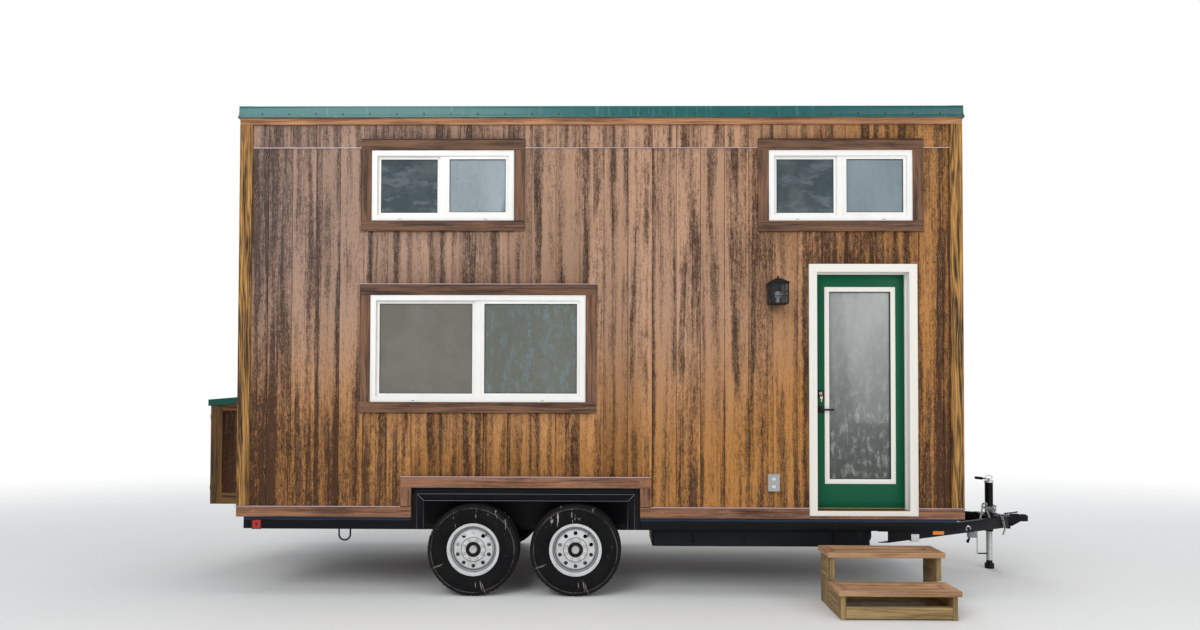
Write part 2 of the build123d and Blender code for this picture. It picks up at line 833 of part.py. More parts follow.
def build_jack():
    top = frame_top - main_rail_height
    x = tongue_front_x - jack_setback
    bore = jack_leg_radius + jack_clearance
    tube = rod(x, 0, jack_housing_bottom, jack_tube_radius, jack_housing_top - jack_housing_bottom, "z")
    tube -= rod(x, 0, jack_housing_bottom, bore, jack_housing_top - jack_housing_bottom - 40, "z")
    lean = math.tan(tongue_lean)
    plate_half = 60
    near = tongue_gap + (jack_setback - plate_half) * lean + tongue_flange / 2
    far = tongue_gap + (jack_setback + plate_half) * lean + tongue_flange / 2
    outline = [(x - plate_half, -far), (x + plate_half, -near), (x + plate_half, near), (x - plate_half, far)]
    plate = profile_xy(outline, top, top + 8) - rod(x, 0, top - 1, jack_tube_radius - 1, 12, "z")
    collar = rod(x, 0, top + 8, jack_tube_radius + 9, 14, "z") - rod(x, 0, top, jack_tube_radius - 1, 40, "z")
    cap = rod(x, 0, jack_housing_top, jack_tube_radius + 4, 12, "z")
    cap -= rod(x, 0, jack_housing_top, crank_rod_radius + jack_clearance, 12, "z")
    tube -= rod(x, 0, jack_housing_top - 40, crank_rod_radius + jack_clearance, 41, "z")
    add("jack_housing", tube + plate + collar + cap)
    leg_top = jack_housing_top - jack_leg_headroom
    leg = rod(x, 0, jack_foot_thickness, jack_leg_radius, leg_top - jack_foot_thickness, "z")
    foot = rod(x, 0, 0, jack_foot_radius, jack_foot_thickness, "z")
    add("jack_leg", leg + foot)
    stem_top = jack_housing_top + 34
    stem = rod(0, 0, jack_housing_top - 30, crank_rod_radius, stem_top - jack_housing_top + 30, "z")
    arm = rod(-crank_arm, 0, stem_top - crank_rod_radius, crank_rod_radius, crank_arm, "x")
    grip = rod(-crank_arm, 0, stem_top - crank_rod_radius, crank_knob_radius, crank_knob_length, "x")
    add("jack_crank", Pos(x, 0, 0) * Rot(0, 0, -crank_rest_angle) * (stem + arm + grip))


def tread_line():
    """The tread from the middle to one shoulder as (across, radius), with its grooves cut in."""
    shoulder = 0.78 * tyre_width / 2

    def surface(across):
        return tyre_radius - tread_crown * (across / shoulder) ** 2

    line = []
    for index in range(tread_groove_count // 2):
        middle = (index + 0.5) * tread_pitch
        near = middle - tread_groove / 2
        far = middle + tread_groove / 2
        floor = surface(middle) - tread_groove_depth
        line += [(near, surface(near)), (near + 2, floor), (far - 2, floor), (far, surface(far))]
    return line + [(shoulder, surface(shoulder))]


def tyre_solid():
    """Grooved tread, bulged sidewalls, beads on the rim's seats and the hollow inside."""
    half = tyre_width / 2
    bead = rim_width / 2 - bead_inset
    seat = rim_seat_radius + bead_clearance
    edge = (0.93 * half, tyre_radius - shoulder_drop)
    bulge = (half, tyre_radius - bulge_drop)
    foot = (bead + 10, rim_flange_radius + 5)
    right = [edge] + tread_line()[::-1]
    tread = right + [(0, tyre_radius)] + [(-y, r) for y, r in reversed(right)]
    heel = [foot, (bead, rim_flange_radius + 1.5), (bead, seat), (bead - 16, seat)]
    heel.append((bead - 10, rim_flange_radius + 8))
    liner = heel + [(half - 14, tyre_radius - bulge_drop), (0.8 * half, tyre_radius - 28)]
    liner.append((0, tyre_radius - tyre_crown_thickness))
    liner += [(-y, r) for y, r in reversed(liner[:-1])]

    def placed(points):
        return [(r, y, 0) for y, r in points]

    outline = [Polyline(*placed(tread)), Polyline(*placed(liner))]
    for side in (1, -1):
        outline.append(ThreePointArc(*placed([(side * y, r) for y, r in (edge, bulge, foot)])))
    return revolve(make_face(outline), axis=Axis.Y, revolution_arc=360)


def spin_section(points):
    """Turns an (across, radius) outline about the wheel's own Y axis."""
    wire = Polyline(*[(r, y, 0) for y, r in points], close=True)
    return revolve(make_face(wire), axis=Axis.Y, revolution_arc=360)


def rim_barrel():
    """Rolled barrel with its two flanges, bead seats and drop centre."""
    edge = rim_width / 2
    seat = rim_seat_radius
    drop = seat - rim_drop
    flange = rim_flange_radius
    outer = [(-edge, flange), (-edge + 5, flange), (-edge + 6, seat), (-edge + 34, seat)]
    outer += [(-edge + 44, drop), (edge - 60, drop), (edge - 44, seat), (edge - 6, seat)]
    outer += [(edge - 5, flange), (edge, flange)]
    inner = [(edge, seat - rim_wall), (edge - 40, seat - rim_wall), (edge - 56, drop - rim_wall)]
    inner += [(-edge + 40, drop - rim_wall), (-edge + 30, seat - rim_wall), (-edge, seat - rim_wall)]
    return spin_section(outer + inner)


def rim_disc():
    """Pressed disc: a raised ring with the hand holes, a dished middle and the bore."""
    face = disc_place
    edge = rim_seat_radius - rim_drop - rim_wall + 1
    crest = hand_hole_circle + hand_hole_radius + 4
    dip = hand_hole_circle - hand_hole_radius - 3
    land = disc_land_radius
    front = [(face, edge), (face - 8, crest + 6), (face - 22, crest), (face - 26, dip)]
    front += [(face - 34, land), (face - 34, hub_bore_radius)]
    back = [(face - 26, hub_bore_radius), (face - 26, land - 4), (face - 18, dip - 2)]
    back += [(face - 14, crest - 6), (face, crest), (face + 8, edge)]
    disc = spin_section(front + back)
    for index in range(hand_hole_count):
        angle = 2 * math.pi * index / hand_hole_count
        disc -= rod(hand_hole_circle * math.sin(angle), face - 60, hand_hole_circle * math.cos(angle),
                    hand_hole_radius, 80, "y")
    return disc


def wheel_hub():
    """Flanged hub behind the disc, open in front, with its ringed nose and the bore for the spindle."""
    face = disc_place
    bore = spindle_radius + spindle_clearance
    bottom = face + hub_bottom
    section = [(bottom, bore), (rim_width / 2, bore), (rim_width / 2, hub_body_radius)]
    section += [(face - 14, hub_body_radius), (face - 14, hub_flange_radius), (face - 28, hub_flange_radius)]
    section += [(face - 28, hub_pocket_radius), (face - 4, hub_pocket_radius), (face - 4, hub_nose_radius)]
    section += [(face - 44, hub_nose_radius), (face - 44, hub_nose_bore), (face - 38, hub_nose_bore)]
    section += [(face - 38, 0), (bottom, 0)]
    return spin_section(section)


def rim_solid():
    """Steel wheel on its hub, with the nuts."""
    wheel = rim_barrel() + rim_disc() + wheel_hub()
    for index in range(stud_count):
        angle = 2 * math.pi * (index + 0.5) / stud_count
        wheel += rod(stud_circle_radius * math.sin(angle), disc_place - nut_reach,
                     stud_circle_radius * math.cos(angle), stud_radius, nut_reach - 26, "y")
    return wheel


def axle_x(side):
    """Places of the two axles along X."""
    return axle_middle_x + (-axle_spacing / 2 if side == "left" else axle_spacing / 2)


def build_wheels():
    tyre = tyre_solid()
    rim = rim_solid()
    wheel_y = -half_width + tyre_setback + tyre_width / 2
    for side in ("left", "right"):
        near = Pos(axle_x(side), wheel_y, tyre_radius)
        add("tyre_front_" + side, near * tyre)
        add("rim_front_" + side, near * rim)
        add("tyre_back_" + side, mirrored(near * tyre))
        add("rim_back_" + side, mirrored(near * rim))


def build_axles():
    wheel_y = half_width - tyre_setback - tyre_width / 2
    inner_edge = wheel_y - rim_width / 2 - 8
    tip = wheel_y + rim_width / 2 - 48 - 24
    axles = []
    springs = []
    rail_y = half_width - well_depth - main_rail_flange / 2
    rail_low = frame_top - main_rail_height
    for side in ("left", "right"):
        x = axle_x(side)
        beam = rod(x, -inner_edge, tyre_radius, axle_radius, 2 * inner_edge, "y")
        beam += rod(x, -tip, tyre_radius, spindle_radius, 2 * tip, "y")
        axles.append(beam)
        seat = tyre_radius + axle_radius
        half = spring_length / 2
        for sy in (-1, 1):
            y0 = sy * rail_y - spring_width / 2
            y1 = y0 + spring_width
            eye = seat + spring_rise
            under = ThreePointArc((x - half, y0, eye), (x, y0, seat), (x + half, y0, eye))
            over = ThreePointArc((x - half, y0, eye + spring_leaf), (x, y0, seat + 3 * spring_leaf),
                                 (x + half, y0, eye + spring_leaf))
            left = Line(under @ 0, over @ 0)
            right = Line(under @ 1, over @ 1)
            pack = extrude(make_face([under, over, left, right]), amount=spring_width, dir=(0, 1, 0))
            hangers = block(x - half - 12, x - half + 18, y0, y1, eye - 10, rail_low)
            hangers += block(x + half - 18, x + half + 12, y0, y1, eye - 10, rail_low)
            springs.append(pack + hangers)
    add("axles", *axles)
    add("leaf_springs", *springs)


def build_trailer_fittings():
    low = frame_top - main_rail_height - tank_height
    y0 = -half_width + well_depth
    tank = block(tank_left, tank_right, y0, y0 + tank_width, low, low + tank_height)
    tank = fillet(tank.edges().filter_by(Axis.Z), tank_corner)
    add("underfloor_tank", tank)
    side = -half_width + siding_thickness
    rim_low = frame_top - rim_rail_height
    end = half_length - siding_thickness - rim_end_inset
    light_x = -end + tail_light_inset
    light_z = rim_low + 2
    lights = []
    for sy in (-1, 1):
        y_pair = sorted((sy * abs(side), sy * (abs(side) + 12)))
        lights.append(block(light_x, light_x + tail_light_side, *y_pair, light_z, light_z + tail_light_side))
    add("tail_lights", *lights)
    markers = []
    for sy in (-1, 1):
        y_pair = sorted((sy * (abs(side) - 8), sy * (abs(side) - 30)))
        markers.append(block(marker_x, marker_x + marker_length, *y_pair, rim_low - marker_height, rim_low))
    add("marker_lights", *markers)


def hinge_levels():
    """Middle heights of the three door hinges."""
    z0 = deck_top + door_floor_gap
    z1 = deck_top + door_height
    return (z0 + hinge_inset, (z0 + z1) / 2, z1 - hinge_inset)


def hinge_knuckle(z0, z1, side):
    """One knuckle on the pin line, with its arm back to the slab (side -1) or the jamb (side 1)."""
    pin_x = door_x + door_width / 2 + door_gap / 2
    leaf_y = -half_width + wall_thickness
    pin_y = leaf_y + knuckle_offset
    reach = door_gap / 2 + 4
    arm = block(*ordered(pin_x, pin_x + side * reach), leaf_y, leaf_y + hinge_leaf, z0, z1)
    stem = block(*ordered(pin_x, pin_x + side * hinge_leaf), leaf_y, pin_y, z0, z1)
    return arm + stem + rod(pin_x, pin_y, z0, hinge_pin_radius, z1 - z0, "z")


def build_door():
    y_in = -half_width + wall_thickness
    y_out = y_in - door_thickness
    x0 = door_x - door_width / 2
    x1 = door_x + door_width / 2
    z0 = deck_top + door_floor_gap
    z1 = deck_top + door_height
    lite_x0 = door_x - lite_width / 2
    lite_x1 = door_x + lite_width / 2
    lite_z0 = z0 + lite_bottom
    lite_z1 = lite_z0 + lite_height
    slab = block(x0, x1, y_out, y_in, z0, z1)
    slab -= block(lite_x0 + lite_frame, lite_x1 - lite_frame, y_out, y_in,
                  lite_z0 + lite_frame, lite_z1 - lite_frame)
    for z in hinge_levels():
        slab = slab + block(x1 - 6 - hinge_leaf_width, x1 - 6, y_in, y_in + hinge_leaf,
                            z - hinge_height / 2, z + hinge_height / 2)
        slab = slab + hinge_knuckle(z - hinge_height / 4, z + hinge_height / 4, -1)
    add("door_slab", slab)
    outer = ring(lite_x0, lite_x1, lite_z0, lite_z1, lite_frame, y_out - lite_proud, y_out)
    inner = ring(lite_x0, lite_x1, lite_z0, lite_z1, lite_frame, y_in, y_in + lite_proud)
    add("door_lite_frame", outer, inner)
    mid = (y_in + y_out) / 2
    pane = block(lite_x0 + lite_frame, lite_x1 - lite_frame, mid - glass_thickness, mid + glass_thickness,
                 lite_z0 + lite_frame, lite_z1 - lite_frame)
    add("door_glass", pane)
    latch_x = x0 + backset
    half = plate_side / 2
    plates = []
    for z in (z0 + lever_height, z0 + deadbolt_height):
        for y_pair in ((y_out - plate_thickness, y_out), (y_in, y_in + plate_thickness)):
            plates.append(block(latch_x - half, latch_x + half, *y_pair, z - half, z + half))
    turn = rod(latch_x, y_out - plate_thickness - 8, z0 + deadbolt_height, 20, 8, "y")
    plates[2] = plates[2] + turn
    add("door_plates", *plates)
    z = z0 + lever_height
    levers = []
    for face, sign in ((y_out - plate_thickness - 0.3, -1), (y_in + plate_thickness + 0.3, 1)):
        y_tip = face + sign * lever_standoff
        stem = rod(latch_x, min(face, y_tip), z, 11, lever_standoff, "y")
        levers.append(stem + rod(latch_x, y_tip - sign * lever_radius, z, lever_radius, lever_reach, "x"))
    add("door_levers", *levers)


def build_door_frame():
    y_face = -half_width
    y_in = -half_width + wall_thickness
    y_out = y_in - door_thickness
    t = jamb_thickness
    top = storey_line
    jambs = block(opening_left, opening_right, y_face, y_in, deck_top, top)
    jambs -= block(opening_left + t, opening_right - t, y_face, y_in, deck_top, top - t)
    stop_y1 = y_out - door_gap
    stop_y0 = stop_y1 - door_stop_depth
    stops = block(opening_left + t, opening_right - t, stop_y0, stop_y1, deck_top, top - t)
    stops -= block(opening_left + t + door_stop_proud, opening_right - t - door_stop_proud, stop_y0, stop_y1,
                   deck_top, top - t - door_stop_proud)
    inner_left = opening_left + t
    inner_right = opening_right - t
    low = deck_top - sill_height
    casing = block(casing_left, casing_right, y_face - trim_thickness, y_face, low, top - t + casing_width)
    casing -= block(inner_left, inner_right, y_face - trim_thickness, y_face, low, top - t)
    sill = block(inner_left, inner_right, y_face - trim_thickness, y_face, low, deck_top)
    frame = jambs + stops + casing + sill
    for z in hinge_levels():
        frame += block(inner_right, inner_right + t - 3, y_in, y_in + hinge_leaf,
                       z - hinge_height / 2, z + hinge_height / 2)
        for end in (-1, 1):
            pair = sorted((z + end * (hinge_height / 4 + hinge_clearance), z + end * hinge_height / 2))
            frame += hinge_knuckle(*pair, 1)
    add("door_frame", frame)


def lantern_face():
    """Muntins and pane of one lantern face: across X, up from z = 0, its outside on y = 0."""
    half = lantern_side / 2
    b = lantern_bar
    m = lantern_muntin
    low = lantern_floor
    high = lantern_height - b
    muntins = block(-m / 2, m / 2, 0, lantern_pane_inset, low, high)
    for share in (0.36, 0.6):
        z = low + share * (high - low)
        muntins += block(-half + b, half - b, 0, lantern_pane_inset, z - m / 2, z + m / 2)
    pane = block(-half + b, half - b, lantern_pane_inset, lantern_pane_inset + lantern_pane, low, high)
    return muntins, pane


def build_lantern():
    """Wall lantern: floor, four corner bars with muntins between, hipped cap, finial and back plate."""
    half = lantern_side / 2
    b = lantern_bar
    z1 = lantern_height
    body = block(-half, half, -half, half, 0, lantern_floor) + block(-half, half, -half, half, z1 - b, z1)
    panes = []
    for turn in range(4):
        corner = half - b
        body += Rot(0, 0, 90 * turn) * block(corner, half, corner, half, 0, z1)
        muntins, pane = lantern_face()
        place = Rot(0, 0, 90 * turn) * Pos(0, -half, 0)
        body += place * muntins
        panes.append(place * pane)
    eave = 2 * (half + lantern_eave)
    cap = loft([make_face(Rectangle(eave, eave)), make_face(Pos(0, 0, lantern_cap) * Rectangle(46, 46))])
    body += Pos(0, 0, z1) * cap
    body += rod(0, 0, z1 + lantern_cap, 9, 22, "z")
    wall = half + lantern_reach
    body += block(-50, 50, wall - 8, wall, 20, z1 + 30)
    body += block(-10, 10, half, wall, z1 - 26, z1 - 6)
    spot = Pos(lantern_x, -half_width - wall, lantern_bottom)
    add("lantern", spot * body)
    add("lantern_glass", *[spot * pane for pane in panes])


def build_outlet():
    """Weatherproof box with two recessed sockets and the hinge ears of its lid."""
    half = outlet_width / 2
    cover = block(-half, half, -outlet_depth, 0, 0, outlet_height)
    cover = fillet(cover.edges().filter_by(Axis.Y), 8)
    socket = RectangleRounded(outlet_socket_width, outlet_socket_height, 12)
    for share in (0.28, 0.72):
        face = Plane.XZ * socket
        cover -= Pos(0, -outlet_depth + 4, share * outlet_height) * extrude(face, amount=outlet_depth)
    for sx in (-1, 1):
        cover += rod(sx * half / 2 - 8, -outlet_depth, outlet_height, 5, 16, "x")
    add("outdoor_outlet", Pos(outlet_x, -half_width, outlet_bottom) * cover)


def build_cabinet():
    x1 = -half_length
    x0 = x1 - cabinet_reach
    y0 = -half_width + cabinet_setback
    y1 = y0 + cabinet_width
    z0 = cabinet_bottom
    z1 = z0 + cabinet_height
    top = [(x0, z0), (x1, z0), (x1, z1 + cabinet_fall), (x0, z1)]
    shell = profile_xz(top, y0, y1)
    recess = 8
    z_pair = (z0 + cabinet_stile, z1 - cabinet_stile)
    panel = block(x0 + cabinet_stile, x1 - cabinet_stile, y0, y0 + recess, *z_pair)
    shell = shell - panel - Pos(0, y0 + y1, 0) * mirror(panel, about=Plane.XZ)
    middle = (y0 + y1) / 2
    for s in (-1, 1):
        pair = sorted((middle + s * 20, middle + s * (cabinet_width / 2 - cabinet_stile)))
        shell -= block(x0, x0 + recess, *pair, *z_pair)
    add("utility_cabinet", shell)
    t = flashing_thickness
    o = cabinet_roof_overhang
    slope = cabinet_fall / cabinet_reach
    low = z1 - o * slope
    lip = 56
    sheet = [(x0 - o, low), (x1, z1 + cabinet_fall), (x1, z1 + cabinet_fall + t), (x0 - o - t, low + t)]
    sheet += [(x0 - o - t, low - lip), (x0 - o, low - lip)]
    roof = profile_xz(sheet, y0 - o, y1 + o)
    for y in (y0 - o, y1 + o - t):
        cheek = [(x0 - o, low - lip), (x1, z1 + cabinet_fall - lip), (x1, z1 + cabinet_fall), (x0 - o, low)]
        roof += profile_xz(cheek, y, y + t)
    add("cabinet_roof", roof)


def tread_boards(y_front, z_top):
    """One tread: a mitred border with boards laid between."""
    x0 = step_x - step_width / 2
    x1 = step_x + step_width / 2
    y0 = y_front
    y1 = y_front + tread_depth
    z0 = z_top - tread_thickness
    b = step_border
    border = [((x0, y0), (x1, y0), (x1 - b, y0 + b), (x0 + b, y0 + b)),
              ((x0, y1), (x1, y1), (x1 - b, y1 - b), (x0 + b, y1 - b)),
              ((x0, y0), (x0 + b, y0 + b), (x0 + b, y1 - b), (x0, y1)),
              ((x1, y0), (x1 - b, y0 + b), (x1 - b, y1 - b), (x1, y1))]
    boards = [profile_xy(corners, z0, z_top) for corners in border]
    frame = boards[0] + boards[1] + boards[2] + boards[3]
    fill = block(x0 + b, x1 - b, y0 + b + board_gap, y1 - b - board_gap, z0, z_top - tread_recess)
    return [frame, fill]


def build_steps():
    lower_top = tread_rise
    upper_top = 2 * tread_rise
    back_y = -half_width - trim_thickness - 8
    upper_front = back_y - tread_depth
    lower_front = upper_front - tread_depth
    treads = tread_boards(upper_front, upper_top) + tread_boards(lower_front, lower_top)
    add("step_treads", *treads)
    sides = []
    x0 = step_x - step_width / 2 + tread_overhang
    x1 = step_x + step_width / 2 - tread_overhang
    front = lower_front + tread_overhang
    for left in (x0, x1 - step_board):
        upright = block(left, left + step_board, upper_front + tread_overhang, back_y, lower_top,
                        upper_top - tread_thickness)
        upright += block(left, left + step_board, upper_front + tread_depth * 0.3, back_y, 0, lower_top)
        lower = block(left, left + step_board, front, upper_front + tread_depth * 0.3, 0,
                      lower_top - tread_thickness)
        sides.append(upright + lower)
    rail = block(x0 + step_board, x1 - step_board, front, front + step_board, 12, 12 + step_rail_height)
    inner = block(x0 + step_board, x1 - step_board, upper_front + tread_depth * 0.3,
                  upper_front + tread_depth * 0.3 + step_board, 40, lower_top - tread_thickness)
    add("step_frame", sides[0] + rail + inner + sides[1])


build_floor()
build_walls()
build_siding()
build_roof()
build_flashing()
build_trim_boards()
build_windows()
build_well_trim()
build_wheel_wells()
build_trailer()
build_tongue()
ball_x, ball_z = build_coupler()
build_jack()
build_wheels()
build_axles()
build_trailer_fittings()
build_door()
build_door_frame()
build_lantern()
build_outlet()
build_cabinet()
build_steps()

boxes = [piece.bounding_box() for piece in nodes.values()]
shift_x = -(min(b.min.X for b in boxes) + max(b.max.X for b in boxes)) / 2
shift_y = -(min(b.min.Y for b in boxes) + max(b.max.Y for b in boxes)) / 2
os.makedirs("parts", exist_ok=True)
for name, piece in nodes.items():
    export_step(Pos(shift_x, shift_y, 0) * piece, "parts/" + name + ".step")
print("shift", round(shift_x, 3), round(shift_y, 3), "pieces", len(nodes))
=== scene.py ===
"""Dresses the tiny house on its trailer: boards, paint, rubber, glass and small hardware."""
import json
import logging
import math
import random
from dataclasses import dataclass, field
from enum import Enum
from typing import Iterable, Sequence

import bmesh
import bpy
from bmesh.types import BMEdge, BMesh, BMFace, BMVert
from bpy.types import ID, Material, Mesh, Node, NodeSocket, NodeTree, Object
from mathutils import Matrix, Vector

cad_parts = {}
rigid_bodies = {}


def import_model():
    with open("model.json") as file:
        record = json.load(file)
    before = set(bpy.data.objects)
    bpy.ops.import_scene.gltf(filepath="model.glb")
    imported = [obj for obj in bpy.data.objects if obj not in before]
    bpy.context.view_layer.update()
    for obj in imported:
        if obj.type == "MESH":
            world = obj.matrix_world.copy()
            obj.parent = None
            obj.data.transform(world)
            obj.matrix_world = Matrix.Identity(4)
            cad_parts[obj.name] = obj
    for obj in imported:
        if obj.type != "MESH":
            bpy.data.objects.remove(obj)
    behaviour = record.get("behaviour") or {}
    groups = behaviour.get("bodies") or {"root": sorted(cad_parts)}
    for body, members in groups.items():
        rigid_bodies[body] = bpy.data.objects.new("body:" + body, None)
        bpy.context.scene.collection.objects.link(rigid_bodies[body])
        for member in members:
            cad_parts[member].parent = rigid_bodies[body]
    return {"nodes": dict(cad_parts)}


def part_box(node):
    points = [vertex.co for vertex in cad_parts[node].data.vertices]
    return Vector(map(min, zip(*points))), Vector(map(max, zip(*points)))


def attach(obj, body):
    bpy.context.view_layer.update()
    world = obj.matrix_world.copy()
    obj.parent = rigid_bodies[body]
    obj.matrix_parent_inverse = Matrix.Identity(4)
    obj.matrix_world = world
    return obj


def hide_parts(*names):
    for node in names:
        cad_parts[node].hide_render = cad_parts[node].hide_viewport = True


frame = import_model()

LOG = logging.getLogger("tiny_house")
Point = tuple[float, float, float]
Colour = tuple[float, float, float]
Spot = tuple[Point, Point]
Verts = list[BMVert]

HALF_LENGTH = 3.029
HALF_WIDTH = 1.27
MIDDLE_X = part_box("siding_front")[0][0] + HALF_LENGTH
MIDDLE_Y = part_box("siding_front")[0][1] + HALF_WIDTH
FRONT = MIDDLE_Y - HALF_WIDTH
BACK = MIDDLE_Y + HALF_WIDTH
LEFT = MIDDLE_X - HALF_LENGTH
RIGHT = MIDDLE_X + HALF_LENGTH
FRAME_TOP = 0.670
ROOF_FRONT = 4.111
ROOF_FALL = 0.230
SIDING = 0.014
TRIM = 0.019
CASING = 0.089
EASE = 0.002
MODULE = 0.2032
TURN = 2 * math.pi
SHARP = 0.6


class Run(Enum):
    """The axis along which a board's grain runs."""

    X = 0
    Y = 1
    Z = 2


class Face(Enum):
    """The way a fastener points, as the turn that brings +Z there."""

    FRONT = (math.pi / 2, 0.0, 0.0)
    BACK = (-math.pi / 2, 0.0, 0.0)
    RIGHT = (0.0, math.pi / 2, 0.0)
    LEFT = (0.0, -math.pi / 2, 0.0)
    TOP = (0.0, 0.0, 0.0)


def linear(*screen: int) -> Colour:
    """The scene-linear colour of an 8-bit screen colour."""
    parts = [part / 255 for part in screen]
    return tuple(c / 12.92 if c <= 0.04045 else ((c + 0.055) / 1.055) ** 2.4 for c in parts)


def around(count: int) -> list[float]:
    """Even angles round a full turn."""
    return [TURN * k / count for k in range(count)]


def neighbours(count: int) -> list[tuple[int, int]]:
    """Each number with the next one round a ring."""
    return [(k, (k + 1) % count) for k in range(count)]


def on_wall(across: Run, along: float, deep: float, up: float) -> Point:
    """A place on a wall that runs along X or Y."""
    return (along, deep, up) if across is Run.X else (deep, along, up)


# Node trees


class Value:
    """A number socket that Python arithmetic can build on."""

    def __init__(self, nodes: "Nodes", socket: NodeSocket) -> None:
        """Wraps a socket of a tree."""
        self.nodes = nodes
        self.socket = socket

    def math(self, operation: str, *others: "Value | float", first: bool = True) -> "Value":
        """Adds one Math node.

        Args:
            operation: the node's operation.
            others: its remaining inputs.
            first: whether this value is the node's first input.

        Returns:
            The node's result.
        """
        inputs = [self, *others] if first else [*others, self]
        node = self.nodes.node("ShaderNodeMath", dict(enumerate(inputs)), operation=operation)
        return Value(self.nodes, node.outputs[0])

    def __add__(self, other: "Value | float") -> "Value":
        """Sum."""
        return self.math("ADD", other)

    __radd__ = __add__

    def __sub__(self, other: "Value | float") -> "Value":
        """Difference."""
        return self.math("SUBTRACT", other)

    def __rsub__(self, other: float) -> "Value":
        """Difference from a number."""
        return self.math("SUBTRACT", other, first=False)

    def __mul__(self, other: "Value | float") -> "Value":
        """Product."""
        return self.math("MULTIPLY", other)

    __rmul__ = __mul__

    def __truediv__(self, other: "Value | float") -> "Value":
        """Quotient."""
        return self.math("DIVIDE", other)

    def __pow__(self, other: "Value | float") -> "Value":
        """Power."""
        return self.math("POWER", other)

    def __abs__(self) -> "Value":
        """Magnitude."""
        return self.math("ABSOLUTE")

    def floor(self) -> "Value":
        """Whole part."""
        return self.math("FLOOR")

    def fract(self) -> "Value":
        """Part after the point."""
        return self.math("FRACT")

    def sine(self) -> "Value":
        """Sine."""
        return self.math("SINE")

    def most(self, other: "Value | float") -> "Value":
        """The larger of two."""
        return self.math("MAXIMUM", other)

    def ramp(self, low: float, high: float, to_low: float = 0.0, to_high: float = 1.0) -> "Value":
        """Smooth step from to_low at low to to_high at high.

        Args:
            low: where the step starts.
            high: where it ends.
            to_low: the result below low.
            to_high: the result above high.

        Returns:
            The stepped value.
        """
        inputs = {"Value": self, "From Min": low, "From Max": high, "To Min": to_low, "To Max": to_high}
        node = self.nodes.node("ShaderNodeMapRange", inputs, interpolation_type="SMOOTHSTEP", clamp=True)
        return Value(self.nodes, node.outputs["Result"])


class Nodes:
    """What a shader's tree and a geometry tree share."""

    entry: Node | None = None

    def __init__(self, tree: NodeTree) -> None:
        """Empties a tree and takes it over."""
        self.tree = tree
        self.tree.nodes.clear()

    def node(self, kind: str, inputs: dict[str | int, object] | None = None, **settings: object) -> Node:
        """Adds a node, with its settings first and then its inputs.

        Args:
            kind: the node's type.
            inputs: values or links, by socket name or number.
            settings: its properties.

        Returns:
            The node.
        """
        made = self.tree.nodes.new(kind)
        for key, value in settings.items():
            setattr(made, key, value)
        for key, value in (inputs or {}).items():
            self.feed(made.inputs[key], value)
        return made

    def feed(self, socket: NodeSocket, value: object) -> None:
        """Links or sets one socket.

        Args:
            socket: the input.
            value: a number, vector, colour, socket, node, value or the name of a tree's input.
        """
        if isinstance(value, str):
            value = self.entry.outputs[value]
        elif isinstance(value, Node):
            value = value.outputs[0]
        elif isinstance(value, Value):
            value = value.socket
        if isinstance(value, NodeSocket):
            self.tree.links.new(value, socket)
        else:
            flat = isinstance(value, tuple) and socket.type == "RGBA"
            socket.default_value = (*value, 1.0) if flat else value


